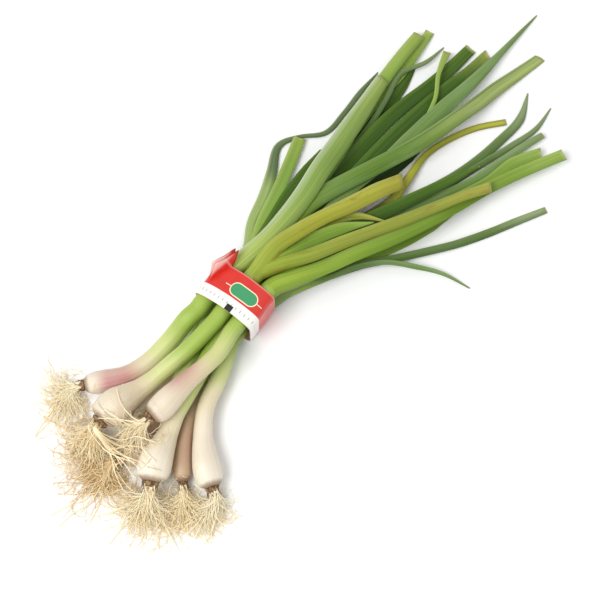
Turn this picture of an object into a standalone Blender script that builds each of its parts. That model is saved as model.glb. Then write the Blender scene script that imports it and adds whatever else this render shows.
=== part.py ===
"""A bunch of eight green garlic plants lying on a table, tied with a printed ribbon.

Metres, +Z up.  The bunch lies along X, roots towards -X and leaf tips towards +X, and rests on Z = 0.
Each plant is laid down in turn, and every piece lies on the pieces that were laid before it.
"""
import math
import bpy
import bmesh
import numpy as np

MM = 0.001

# Where the photograph was taken from.
# A point given as (u, v) is a place read off the photograph, in its 600 x 600 frame.
PHOTO_MIDDLE = (300.0, 300.0)
PHOTO_SCALE = 0.7 * MM
VIEW_DISTANCE = 1.0
VIEW_ELEVATION = math.radians(72)
TIE_SEEN = (236.0, 303.0)
TIE_HEIGHT = 18 * MM
TIE_TURN = math.radians(9)
ORIGIN = (65.45 * MM, -16.78 * MM)

# Ribbon.
BAND_WIDTH = 27.5 * MM
BAND_THICK = 0.8 * MM
BAND_CLEAR = 0.6 * MM
BAND_SIDES = 28
TAB_LENGTH = 10.5 * MM
TAB_WIDTH = 18 * MM
TAB_PLACE = 4 * MM
TAB_LEAN = 12 * MM
TAB_ANGLE = math.radians(52)
TAB_RISE = math.radians(74)
TAB_KNEE = 0.8 * MM

# Leaves and stems.
LEAF_THICK = 0.9 * MM
LEAF_STEP = 22 * MM
STEM_STEP = 9 * MM
LAY_GAP = 0.7 * MM
TIE_REACH = 16 * MM
NECK_REACH = 40 * MM
DROOP_REACH = 110 * MM
LEAVES_STACK = 55 * MM
NECK_START = 22 * MM
NECK_LEAF = 1.8
NECK_NARROW = 1.15
NECK_SWELL = 1.25
NECK_ARCH = -0.75
NECK_ARCH_REACH = 60 * MM
NEST = 0.8 * MM
NECK_TAPER = 0.55
FLAT_SPOT = 0.75 * MM
STEM_SIDES = 10
BULB_STATIONS = 4
BULB_STEPS = (0, 2, 5, 9, 15, 24)
BULB_BASE = ((0, 2, 5, 9), (0.52, 0.77, 0.94, 1.0))
BULB_SWELL = ((0, 9, 15, 24, 34, 46), (1.0, 1.0, 0.92, 0.57, 0.20, 0.0))
ROUND_EDGE = 0.96
STATION_REACH = 1.02
BLADE_TOP = 1.1
TIP_HALF = 0.5 * MM

# Roots.
ROOT_RADIUS = 0.75 * MM
ROOT_STEP = 13 * MM
PLATE_GAP = 0.4 * MM
PLATE_DEPTH = 3.5 * MM
ROOT_TRIES = 400
ROOT_BEND = 0.35
ROOT_LOFT = 6 * MM
ROOT_CLIMB = 1.6
SEED = 11

# The table's height map.
CELL = 0.5 * MM
MAP_X = (-0.26, 0.36)
MAP_Y = (-0.18, 0.16)

# Each plant, from the bottom of the pile to the top: its bulb and stem as seen, its stem's place across the
# bunch where it enters the tie (slot) and where its leaves part (neck), its bulb and stem radius, its
# roots' heading in the picture, spread in degrees, number and length, and its leaves.
# Each leaf: its points as (u, v, width in mm), its fold (up at the edges, or down if negative) and its tip.
PLANTS = {
    "c": {
        "stem": [(126, 416), (144, 400), (168, 375), (190, 351)],
        "slot": 12.8, "neck": 14.5, "bulb": 7.2, "shank": 5.9,
        "roots": (-0.4, 1, 50, 9, 50),
        "leaves": {
            "fold": ([(248, 236, 9), (261, 206, 9), (270, 178, 8), (277, 150, 6), (284, 135, 4),
                      (300, 137, 3), (319, 136, 4), (336, 124, 4), (352, 102, 4),
                      (378, 72, 4)], 0.25, "point"),
            "left": ([(256, 237, 9), (268, 210, 9), (281, 184, 9), (291, 160, 9),
                      (300, 138, 9)], 0.35, "cut"),
            "dark": ([(262, 238, 9), (276, 213, 8), (290, 190, 7), (306, 170, 7),
                      (323, 151, 5)], 0.30, "cut"),
        },
    },
    "g": {
        "stem": [(183, 482), (182, 465), (184, 440), (190, 413), (199, 390)],
        "slot": 0.2, "neck": 1, "bulb": 6.6, "shank": 5.2,
        "roots": (-0.5, 1, 45, 10, 50),
        "leaves": {
            "keel": ([(290, 220, 10), (318, 186, 10), (345, 157, 10), (370, 128, 10), (394, 98, 9),
                      (417, 64, 6)], 0.45, "point"),
            "far": ([(285, 225, 8), (318, 178, 9), (350, 135, 9), (376, 100, 9), (402, 72, 8),
                     (430, 32, 7)], 0.30, "cut"),
            "curl": ([(300, 214, 4), (335, 170, 4), (368, 128, 4), (386, 99, 4), (398, 76, 4), (415, 65, 4),
                      (430, 60, 3), (444, 47, 2)], 0.25, "point"),
        },
    },
    "h": {
        "stem": [(212, 487), (207, 470), (203, 440), (206, 408), (219, 378)],
        "slot": -11.8, "neck": -20, "bulb": 9.8, "shank": 6.0,
        "roots": (-0.8, 1, 36, 10, 46),
        "leaves": {
            "low": ([(300, 284, 12), (345, 264, 12), (395, 244, 12), (430, 226, 10),
                     (456, 212, 5)], 0.25, "point"),
            "side": ([(318, 279, 6), (350, 268, 6), (380, 261, 6), (408, 256, 6), (432, 250, 6),
                      (470, 240, 6), (508, 225, 6), (546, 210, 5)], 0.30, "cut"),
            "thin": ([(320, 280, 4), (352, 268, 4), (384, 262, 4), (412, 266, 4), (441, 273, 3),
                      (470, 288, 2)], 0.25, "point"),
        },
    },
    "f": {
        "stem": [(122, 459), (135, 452), (152, 428), (172, 400)],
        "slot": 6.2, "neck": 6.5, "bulb": 8.2, "shank": 5.7,
        "roots": (-0.7, 0.8, 50, 11, 62),
        "leaves": {
            "under": ([(298, 236, 9), (335, 210, 11), (372, 186, 11), (405, 160, 9),
                       (430, 140, 4)], 0.30, "point"),
            "upper": ([(290, 232, 10), (325, 188, 11), (362, 147, 11), (400, 110, 11), (438, 80, 11),
                       (471, 49, 9)], 0.30, "cut"),
            "middle": ([(295, 234, 9), (335, 198, 11), (376, 157, 12), (409, 126, 12), (432, 105, 11),
                        (454, 86, 10), (473, 71, 9), (488, 55, 8)], 0.35, "cut"),
            "stalk": ([(300, 240, 3), (345, 200, 3), (385, 166, 3), (412, 140, 3), (427, 119, 3),
                       (434, 104, 3), (437, 83, 3), (440, 69, 4), (447, 52, 6)], 0.30, "cut"),
            "long": ([(300, 236, 8), (345, 195, 8), (385, 162, 9), (408, 142, 11), (432, 121, 12),
                      (458, 98, 11), (482, 75, 8), (508, 46, 4), (537, 15, 2)], 0.30, "point"),
        },
    },
    "e": {
        "stem": [(151, 482), (155, 465), (165, 440), (178, 412), (193, 388)],
        "slot": -6.2, "neck": -9, "bulb": 11.6, "shank": 5.9,
        "roots": (-0.5, 1, 60, 11, 58),
        "leaves": {
            "rise": ([(300, 258, 8), (345, 236, 8), (392, 208, 8), (440, 185, 7), (478, 160, 7),
                      (508, 133, 7), (524, 113, 6), (528, 93, 3)], 0.30, "point"),
            "thin": ([(300, 262, 5), (345, 240, 5), (390, 216, 5), (432, 195, 5), (471, 171, 5),
                      (506, 149, 5), (532, 133, 4), (551, 108, 2)], 0.25, "point"),
            "even": ([(305, 262, 6), (350, 243, 6), (400, 214, 6), (440, 196, 6), (476, 179, 6),
                      (512, 154, 6), (543, 135, 5)], 0.25, "cut"),
            "olive": ([(308, 266, 7), (352, 248, 7), (402, 223, 7), (446, 203, 7), (489, 181, 7),
                       (514, 163, 9), (541, 153, 8)], 0.30, "cut"),
            "bend": ([(300, 254, 6), (345, 229, 6), (378, 209, 7), (400, 193, 7), (411, 174, 6),
                      (425, 156, 5), (448, 140, 5), (476, 128, 5), (506, 122, 5)], 0.20, "cut"),
            "dark": ([(300, 252, 9), (335, 236, 10), (370, 219, 10), (410, 200, 9), (448, 182, 7),
                      (480, 166, 4)], 0.30, "point"),
        },
    },
    "a": {
        "stem": [(85, 385), (100, 382), (126, 376), (150, 361), (182, 334)],
        "slot": 15.8, "neck": 9, "bulb": 7.9, "shank": 6.7,
        "roots": (-0.35, 1, 34, 10, 48),
        "leaves": {
            "back": ([(276, 234, 12), (306, 196, 12), (334, 158, 12), (358, 118, 11), (386, 76, 10),
                      (419, 35, 9)], -0.30, "cut"),
            "wide": ([(282, 230, 12), (305, 207, 13), (330, 190, 13), (380, 164, 13), (414, 146, 12),
                      (460, 117, 11), (495, 90, 11), (540, 58, 8)], -0.22, "cut"),
            "main": ([(270, 236, 14), (298, 203, 15), (324, 163, 15), (347, 132, 15), (364, 107, 13),
                      (383, 79, 10)], -0.30, "cut"),
        },
    },
    "d": {
        "stem": [(151, 416), (165, 404), (190, 380), (216, 356)],
        "slot": -13.6, "neck": -20, "bulb": 9.1, "shank": 5.9,
        "roots": (-0.9, 0.45, 42, 12, 46),
        "leaves": {
            "inner": ([(300, 272, 9), (345, 252, 8), (395, 230, 7), (430, 212, 4)], 0.30, "point"),
            "green": ([(296, 278, 11), (345, 258, 11), (395, 237, 11), (440, 215, 10), (480, 193, 9),
                       (520, 173, 9), (564, 155, 9)], 0.30, "cut"),
        },
    },
    "b": {
        "stem": [(101, 420), (113, 408), (150, 382), (190, 352)],
        "slot": -0.3, "neck": -3, "bulb": 12, "shank": 5.9,
        "roots": (-0.15, 1, 48, 12, 58),
        "leaves": {
            "sprout": ([(300, 246, 4), (319, 230, 4), (336, 219, 6), (352, 216, 6), (368, 217, 4),
                        (386, 221, 2)], 0.25, "point"),
            "short": ([(288, 255, 9), (306, 243, 10), (330, 232, 10), (352, 226, 7),
                       (374, 222, 3)], 0.25, "point"),
            "gold": ([(286, 264, 11), (330, 247, 10), (375, 230, 9), (415, 215, 9), (450, 201, 8),
                      (491, 187, 8)], -0.25, "cut"),
            "amber": ([(278, 244, 12), (312, 222, 11), (330, 213, 11), (368, 195, 13),
                       (386, 184.5, 12), (404, 174, 11)], -0.20, "cut"),
        },
    },
}

# Colours, roughness: pale stems greening to leaf, root cream, ribbon red.
STEM_LOOK = ((0.36, 0.50, 0.16), 0.45)
ROOT_LOOK = ((0.72, 0.58, 0.36), 0.80)
BAND_LOOK = ((0.78, 0.08, 0.05), 0.40)


def clear_scene():
    """Start from an empty scene."""
    for thing in list(bpy.data.objects):
        bpy.data.objects.remove(thing, do_unlink=True)


def make_collection(name, cutter=False):
    """A collection, hidden from renders where it holds helper pieces."""
    group = bpy.data.collections.new(name)
    bpy.context.scene.collection.children.link(group)
    group.hide_render = cutter
    return group


def make_material(name, colour, roughness):
    """A plain Principled material."""
    material = bpy.data.materials.new(name)
    material.use_nodes = True
    shader = material.node_tree.nodes["Principled BSDF"]
    shader.inputs["Base Color"].default_value = (*colour, 1.0)
    shader.inputs["Roughness"].default_value = roughness
    shader.inputs["Metallic"].default_value = 0.0
    material.diffuse_color = (*colour, 1.0)
    return material


def on_ground(u, v, height):
    """The place right and up the picture, on the level at this height, that a photo point shows."""
    focal = VIEW_DISTANCE / PHOTO_SCALE
    rise = (PHOTO_MIDDLE[1] - v) / focal
    sine = math.sin(VIEW_ELEVATION)
    cosine = math.cos(VIEW_ELEVATION)
    up = (rise * (VIEW_DISTANCE - height * sine) - height * cosine) / (sine - rise * cosine)
    depth = VIEW_DISTANCE + up * cosine - height * sine
    return (u - PHOTO_MIDDLE[0]) / focal * depth, up


def seen(u, v, height):
    """A photo point as x along the bunch and y across it, from the middle of the tie."""
    right, up = on_ground(u, v, height)
    tie_right, tie_up = on_ground(*TIE_SEEN, TIE_HEIGHT)
    right = right - tie_right
    up = up - tie_up
    return np.array((right + up, up - right)) * math.sqrt(0.5)


def heading(du, dv):
    """A direction in the picture (right, down) as an angle on the table."""
    return math.atan2(-dv - du, du - dv)


def tie_place(along, across):
    """A place given along and across the tie, which lies turned a little from the bunch's length."""
    cosine, sine = math.cos(TIE_TURN), math.sin(TIE_TURN)
    return np.array((along * cosine - across * sine, along * sine + across * cosine))


def smooth_path(points, distances):
    """Points at the given distances along a smooth curve through the rows of `points`."""
    points = np.asarray(points, float)
    ends = np.vstack((2 * points[0] - points[1], points, 2 * points[-1] - points[-2]))
    t = np.linspace(0, 1, 24, endpoint=False)[:, None]
    pieces = []
    for k in range(len(points) - 1):
        a, b, c, d = ends[k:k + 4]
        pieces.append(0.5 * (2 * b + (c - a) * t + (2 * a - 5 * b + 4 * c - d) * t ** 2
                             + (3 * b - a - 3 * c + d) * t ** 3))
    fine = np.vstack(pieces + [points[-1:]])
    run = np.concatenate(([0], np.cumsum(np.hypot(*np.diff(fine[:, :2], axis=0).T))))
    where = distances(run[-1])
    return np.column_stack([np.interp(where, run, column) for column in fine.T])


def even_steps(step):
    """Distances along a curve at about this step."""
    return lambda length: np.linspace(0, length, max(5, round(length / step) + 1))


def side_of(path):
    """The level direction square to the path at each of its points."""
    legs = np.diff(path[:, :2], axis=0)
    legs = legs / np.linalg.norm(legs, axis=1)[:, None]
    along = np.vstack((legs[:1], legs[:-1] + legs[1:], legs[-1:]))
    along = along / np.linalg.norm(along, axis=1)[:, None]
    return np.column_stack((-along[:, 1], along[:, 0]))


class Pile:
    """The height that the pieces laid so far reach over each cell of the table."""

    def __init__(self):
        self.shape = (round((MAP_X[1] - MAP_X[0]) / CELL), round((MAP_Y[1] - MAP_Y[0]) / CELL))
        self.top = np.zeros(self.shape)

    def cells(self, xy):
        column = np.clip(((xy[..., 0] - MAP_X[0]) / CELL).astype(int), 1, self.shape[0] - 2)
        row = np.clip(((xy[..., 1] - MAP_Y[0]) / CELL).astype(int), 1, self.shape[1] - 2)
        return column, row

    def under(self, xy):
        """The highest thing within a cell of each point."""
        column, row = self.cells(xy)
        return np.max([self.top[column + i, row + j] for i in (-1, 0, 1) for j in (-1, 0, 1)], axis=0)

    def add(self, xy, height):
        np.maximum.at(self.top, self.cells(xy), height)

    def copy(self):
        other = Pile()
        other.top = self.top.copy()
        return other


class Strip:
    """A stem, root or leaf as stations along a path, with a half width and a height at each."""

    def __init__(self, path, half, kind, fold=0.0):
        self.path = np.asarray(path, float)[:, :2]
        self.half = np.asarray(half, float)
        self.side = side_of(self.path)
        self.kind = kind
        self.fold = np.broadcast_to(np.asarray(fold, float), self.half.shape)
        self.height = np.zeros(len(self.half))
        legs = np.hypot(*np.diff(self.path, axis=0).T)
        self.run = np.concatenate(([0], np.cumsum(legs)))

    def fine(self):
        """Sample places over the strip: stations, x and y, half widths, offsets from -1 to 1 and folds."""
        count = max(2, int(self.run[-1] / CELL))
        station = np.interp(np.linspace(0, self.run[-1], count), self.run, np.arange(len(self.run)))
        reach = ROUND_EDGE if self.kind == "round" else 1.0
        across = np.linspace(-reach, reach, 2 * max(2, math.ceil(self.half.max() / CELL)) + 1)
        centre = self.between(self.path, station)
        side = self.between(self.side, station)
        half = self.between(self.half[:, None], station)[:, 0]
        xy = centre[:, None] + side[:, None] * (half[:, None] * across)[..., None]
        return station, xy, half[:, None], across, self.between(self.fold[:, None], station)

    @staticmethod
    def between(rows, station):
        lower = np.minimum(station.astype(int), len(rows) - 2)
        share = (station - lower)[:, None]
        return rows[lower] * (1 - share) + rows[lower + 1] * share

    def underside(self, half, across, fold):
        """How far the underside stands over the strip's lowest line."""
        if self.kind == "round":
            return half * (1 - np.sqrt(np.maximum(0, 1 - across ** 2)))
        return half * (np.maximum(fold, 0) * np.abs(across) + np.maximum(-fold, 0) * (1 - np.abs(across)))

    def topside(self, half, across, fold):
        if self.kind == "round":
            return half * (1 + np.sqrt(np.maximum(0, 1 - across ** 2)))
        return self.underside(half, across, fold) + LEAF_THICK * BLADE_TOP

    def need(self, pile):
        """The least height at each station that keeps the strip clear of the pile, and at each sample."""
        station, xy, half, across, fold = self.fine()
        below = pile.under(xy)
        lift = np.where(below > 0, below + LAY_GAP, 0) - self.underside(half, across, fold)
        sample = lift.max(axis=1)
        least = [sample[np.abs(station - k) <= STATION_REACH].max() for k in range(len(self.run))]
        return np.array(least), station, sample

    def settle(self, pile, hand, pinned=0):
        """Lie on the pile or at the hand height, whichever is higher, evened out along the strip."""
        least = np.maximum(self.need(pile)[0], 0)
        height = np.maximum(hand, least)
        for _ in range(4):
            even = height.copy()
            even[1:-1] = (height[:-2] + 2 * height[1:-1] + height[2:]) / 4
            even[:pinned] = hand[:pinned]
            height = np.maximum(even, np.where(np.arange(len(even)) < pinned, 0, least))
        self.height = height

    def stamp(self, pile):
        station, xy, half, across, fold = self.fine()
        height = self.between(self.height[:, None], station)
        pile.add(xy, height + self.topside(half, across, fold))


def bulb_radius(run, bulb, shank, length):
    """Radius along a stem: rounded base, widest just above it, narrowing into the stem, then its neck."""
    knots, share = BULB_SWELL
    radius = (shank + (bulb - shank) * np.interp(run, np.array(knots) * MM, share)) * MM
    knots, share = BULB_BASE
    radius = radius * np.interp(run, np.array(knots) * MM, share)
    neck = length - (NECK_REACH - TIE_REACH)
    return radius * np.interp(run, (neck, length), (1.0, NECK_TAPER))


def in_tie(plant, along):
    """The place of a plant's stem at this distance along the tie."""
    share = max(along, 0) / NECK_REACH
    return tie_place(along, (plant["slot"] + (plant["neck"] - plant["slot"]) * share) * MM)


def lay_stem(plant, pile, guess):
    """A bulb and its stem, through the tie, to where its leaves part."""
    outer = [seen(u, v, guess) for u, v in plant["stem"]]
    outer.append(in_tie(plant, -TIE_REACH - 6 * MM))

    def spaced(length):
        near = np.array(BULB_STEPS) * MM
        count = round((length - near[-1]) / STEM_STEP) + 1
        return np.concatenate((near, np.linspace(near[-1], length, count)[1:]))

    bulb_path = smooth_path(outer, spaced)
    tie_path = [in_tie(plant, along) for along in (-TIE_REACH, 0, TIE_REACH, NECK_REACH * 0.7, NECK_REACH)]
    path = np.vstack((bulb_path, tie_path))
    strip = Strip(path, np.ones(len(path)), "round")
    strip.half = bulb_radius(strip.run, plant["bulb"], plant["shank"], strip.run[-1])
    at_tie = np.interp(path[:, 0], (-4 * TIE_REACH, -1.6 * TIE_REACH), (0, 1))
    strip.settle(pile, at_tie * (BAND_THICK + BAND_CLEAR + 0.2 * MM))
    base = strip.half[:BULB_STATIONS]
    strip.height[:BULB_STATIONS] = (strip.height[:BULB_STATIONS] + base).max() - base
    return strip


def leaf_strip(plant, leaf, guess):
    """A leaf's stations, from its own stem's neck, which it wraps, to its tip."""
    points, fold, tip = leaf
    shank = plant["shank"]
    neck_width = np.clip(points[0][2] * NECK_SWELL, shank * NECK_NARROW, shank * NECK_LEAF)
    rows = [(*in_tie(plant, NECK_START), neck_width), (*in_tie(plant, NECK_REACH * 0.9), neck_width)]
    for (u, v, width), height in zip(points, guess):
        rows.append((*seen(u, v, height), width))
    path = smooth_path(rows, even_steps(LEAF_STEP))
    half = path[:, 2] * MM / 2
    if tip == "point":
        half[-1] = min(half[-1], TIP_HALF)
    strip = Strip(path, half, "leaf")
    strip.fold = np.interp(strip.run, (0, NECK_ARCH_REACH), (NECK_ARCH, fold))
    return strip


def lay_leaf(strip, stem, own, depth):
    """Rest a leaf on the other plants and, away from the tie, on its own plant's leaves too.

    Depth is the number of leaves of its plant that wrap the neck outside this one.
    """
    start = np.interp(strip.path[:, 0], stem.path[:, 0], stem.height + stem.half)
    droop = 0.5 + 0.5 * np.cos(np.pi * np.clip(strip.run / DROOP_REACH, 0, 1))
    hand = (start[0] - LEAF_THICK / 2 - NEST * depth) * droop
    strip.settle(own, hand, pinned=1)


def base_plate(stem):
    """The woody plate under a bulb, a hair's breadth behind it, that carries the roots."""
    away = stem.path[0] - stem.path[1]
    away = away / np.hypot(*away)
    near = stem.path[0] + away * PLATE_GAP
    plate = Strip([near, near + away * PLATE_DEPTH], stem.half[0] * np.array((0.9, 0.7)), "round")
    plate.height = stem.height[0] + stem.half[0] - plate.half
    return plate


def clear_of_others(name, laid):
    """The pile as it stands, but for one plant's own base plate and roots."""
    pile = Pile()
    for other, (stem, leaves, roots) in laid.items():
        stem.stamp(pile)
        for strip in leaves.values():
            strip.stamp(pile)
        if other != name:
            base_plate(stem).stamp(pile)
            for strip in roots:
                strip.stamp(pile)
    return pile


def lay_roots(plant, stem, pile, rng):
    """Roots from the base plate, each the first that wanders clear of what is already laid."""
    du, dv, spread, count, length = plant["roots"]
    away = stem.path[0] - stem.path[1]
    away = away / np.hypot(*away)
    middle = stem.path[0] + away * (PLATE_GAP + PLATE_DEPTH / 2)
    centre = stem.height[0] + stem.half[0]
    aim = heading(du, dv)
    back = math.atan2(away[1], away[0])
    roots = []
    for _ in range(ROOT_TRIES):
        if len(roots) == count:
            break
        angle = aim + math.radians(spread) * rng.uniform(-1, 1)
        if math.cos(angle - back) < -0.1:
            continue
        steps = max(3, round(length * MM * rng.uniform(0.55, 1.0) / ROOT_STEP))
        bend = rng.uniform(-ROOT_BEND, ROOT_BEND)
        turns = angle + np.cumsum(rng.normal(bend, ROOT_BEND, steps))
        turns[0] = back + 0.6 * math.remainder(angle - back, 2 * math.pi)
        legs = np.column_stack((np.cos(turns), np.sin(turns))) * ROOT_STEP
        legs[0] *= 0.6
        path = middle + np.vstack((np.zeros((1, 2)), np.cumsum(legs, axis=0)))
        strip = Strip(path, np.linspace(1.0, 0.6, steps + 1) * ROOT_RADIUS, "round")
        least, station, sample = strip.need(pile)
        loft = rng.uniform(0, ROOT_LOFT)
        hand = loft * np.linspace(1, 0, steps + 1)
        hand[0] = centre - ROOT_RADIUS + rng.uniform(-0.3, 0.3) * stem.half[0]
        strip.height = np.maximum(hand, np.where(np.arange(steps + 1) > 0, least, 0))
        height = np.interp(station, np.arange(steps + 1), strip.height)
        outside = station * 0.6 * ROOT_STEP > PLATE_DEPTH / 2
        outside |= station > 1
        steepest = np.abs(np.diff(strip.height)).max()
        if (height - sample)[outside].min() < 0 or steepest > ROOT_CLIMB * ROOT_STEP:
            continue
        roots.append(strip)
    return roots


def lay_bunch():
    """Lay every plant, three times over, as each point's height moves where the photo shows it."""
    heights = {}
    for look in range(3):
        pile = Pile()
        laid = {}
        rng = np.random.default_rng(SEED)
        for name, plant in PLANTS.items():
            stem = lay_stem(plant, pile, heights.get(name, 10 * MM))
            heights[name] = float(np.mean((stem.height + stem.half)[:8]))
            plate = base_plate(stem)
            plate.stamp(pile)
            leaves = {}
            own = pile.copy()
            for k, (leaf_name, leaf) in enumerate(plant["leaves"].items()):
                guess = heights.get((name, leaf_name), [8 * MM] * len(leaf[0]))
                strip = leaf_strip(plant, leaf, guess)
                lay_leaf(strip, stem, own, len(plant["leaves"]) - 1 - k)
                places = np.array([seen(u, v, h) for (u, v, _), h in zip(leaf[0], guess)])
                nearest = [np.argmin(np.hypot(*(strip.path - place).T)) for place in places]
                heights[name, leaf_name] = [float(strip.height[n]) + LEAF_THICK for n in nearest]
                far = own.copy()
                strip.stamp(far)
                start = int((LEAVES_STACK - MAP_X[0]) / CELL)
                own.top[start:] = far.top[start:]
                leaves[leaf_name] = strip
            stem.stamp(pile)
            for strip in leaves.values():
                strip.stamp(pile)
            laid[name] = (stem, leaves, [])
        for name, (stem, leaves, roots) in laid.items():
            roots.extend(lay_roots(PLANTS[name], stem, clear_of_others(name, laid), rng))
    return laid


def placed(xy, height):
    """A point of the finished bunch, from the middle of its box."""
    return (xy[0] - ORIGIN[0], xy[1] - ORIGIN[1], height)


def tube(name, points, radii, sides, group):
    """A closed round tube through the points, as a mesh."""
    curve = bpy.data.curves.new(name, "CURVE")
    curve.dimensions = "3D"
    curve.twist_mode = "Z_UP"
    curve.bevel_depth = 1.0
    curve.bevel_resolution = (sides - 4) // 2
    curve.use_fill_caps = True
    spline = curve.splines.new("POLY")
    spline.points.add(len(points) - 1)
    for point, place, radius in zip(spline.points, points, radii):
        point.co = (*place, 1.0)
        point.radius = radius
    drawn = bpy.data.objects.new(name + "_path", curve)
    drawn.display_type = "WIRE"
    group.objects.link(drawn)
    bpy.context.view_layer.update()
    mesh = bpy.data.meshes.new_from_object(drawn.evaluated_get(bpy.context.evaluated_depsgraph_get()))
    bpy.data.objects.remove(drawn, do_unlink=True)
    return weld(name, mesh, group)


def weld(name, mesh, group):
    """Weld, triangulate and link a mesh."""
    work = bmesh.new()
    work.from_mesh(mesh)
    bmesh.ops.remove_doubles(work, verts=work.verts, dist=0.00001)
    bmesh.ops.triangulate(work, faces=work.faces)
    bmesh.ops.recalc_face_normals(work, faces=work.faces)
    work.to_mesh(mesh)
    work.free()
    thing = bpy.data.objects.new(name, mesh)
    group.objects.link(thing)
    return thing


def strip_tube(name, strip, sides, group):
    """A stem or root from its stations."""
    points = [placed(xy, h + r) for xy, h, r in zip(strip.path, strip.height, strip.half)]
    return tube(name, points, strip.half, sides, group)


def apply_modifiers(thing):
    """Keep the shape that the modifiers give."""
    bpy.context.view_layer.update()
    depsgraph = bpy.context.evaluated_depsgraph_get()
    mesh = bpy.data.meshes.new_from_object(thing.evaluated_get(depsgraph))
    thing.modifiers.clear()
    thing.data = mesh


def leaf_blade(name, strip, group):
    """A folded leaf: a sheet three points wide, thickened upwards."""
    verts = []
    for xy, side, half, height, fold in zip(strip.path, strip.side, strip.half, strip.height, strip.fold):
        for across in (-1, 0, 1):
            verts.append(placed(xy + side * half * across, height + strip.underside(half, across, fold)))
    faces = []
    for k in range(len(strip.half) - 1):
        for j in (0, 1):
            a = 3 * k + j
            faces.append((a, a + 3, a + 4))
            faces.append((a, a + 4, a + 1))
    mesh = bpy.data.meshes.new(name)
    mesh.from_pydata(verts, [], faces)
    thing = bpy.data.objects.new(name, mesh)
    group.objects.link(thing)
    solid = thing.modifiers.new("thickness", "SOLIDIFY")
    solid.thickness = LEAF_THICK
    solid.offset = 1.0
    apply_modifiers(thing)
    return thing


def join_all(base, pieces, helpers):
    """Fuse the pieces into the base and drop what is sealed inside or loose."""
    if pieces:
        union = base.modifiers.new("joined", "BOOLEAN")
        union.operation = "UNION"
        union.operand_type = "COLLECTION"
        union.collection = helpers
        union.solver = "MANIFOLD"
        apply_modifiers(base)
        for piece in pieces:
            bpy.data.objects.remove(piece, do_unlink=True)
    keep_largest(base.data)


def keep_largest(mesh):
    """Keep only the outermost closed body of a mesh."""
    work = bmesh.new()
    work.from_mesh(mesh)
    bmesh.ops.triangulate(work, faces=work.faces)
    groups = []
    left = set(work.verts)
    while left:
        stack = [left.pop()]
        found = set(stack)
        while stack:
            for edge in stack.pop().link_edges:
                for vert in edge.verts:
                    if vert in left:
                        left.discard(vert)
                        found.add(vert)
                        stack.append(vert)
        groups.append(found)
    largest = max(groups, key=len)
    loose = [vert for found in groups if found is not largest for vert in found]
    bmesh.ops.delete(work, geom=loose, context="VERTS")
    work.to_mesh(mesh)
    work.free()


def press_flat(mesh):
    """The lowest parts of the underside lie flat on the table."""
    for vert in mesh.vertices:
        if vert.co.z < FLAT_SPOT:
            vert.co.z = 0.0


def build_stalk(name, stem, leaves, group, helpers, material):
    """A plant's bulb, stem and leaves as one body."""
    body = strip_tube("stalk_" + name, stem, STEM_SIDES, group)
    blades = [leaf_blade(name + "_" + key, strip, helpers) for key, strip in leaves.items()]
    join_all(body, blades, helpers)
    press_flat(body.data)
    body.data.materials.clear()
    body.data.materials.append(material)
    return body


def build_roots(name, stem, roots, group, helpers, material):
    """A plant's base plate with its roots, just behind the bulb."""
    body = strip_tube("roots_" + name, base_plate(stem), 8, group)
    threads = [strip_tube("root", strip, 4, helpers) for strip in roots]
    join_all(body, threads, helpers)
    body.data.materials.clear()
    body.data.materials.append(material)
    return body


def band_outline(laid):
    """The ribbon's inner outline across the bunch: it hugs every stem in the tie."""
    angles = np.linspace(0, 2 * math.pi, BAND_SIDES, endpoint=False)
    normals = np.column_stack((np.cos(angles), np.sin(angles)))
    reach = np.full(BAND_SIDES, -1.0)
    square = tie_place(0, 1)
    for stem, _, _ in laid.values():
        for xy, half, height in zip(stem.path, stem.half, stem.height):
            if np.hypot(*xy) <= 1.5 * TIE_REACH:
                reach = np.maximum(reach, normals @ (xy @ square, height + half) + half)
    reach = reach + BAND_CLEAR
    corners = []
    for k in range(BAND_SIDES):
        pair = np.array((normals[k], normals[(k + 1) % BAND_SIDES]))
        corners.append(np.linalg.solve(pair, (reach[k], reach[(k + 1) % BAND_SIDES])))
    return np.array(corners)


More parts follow.
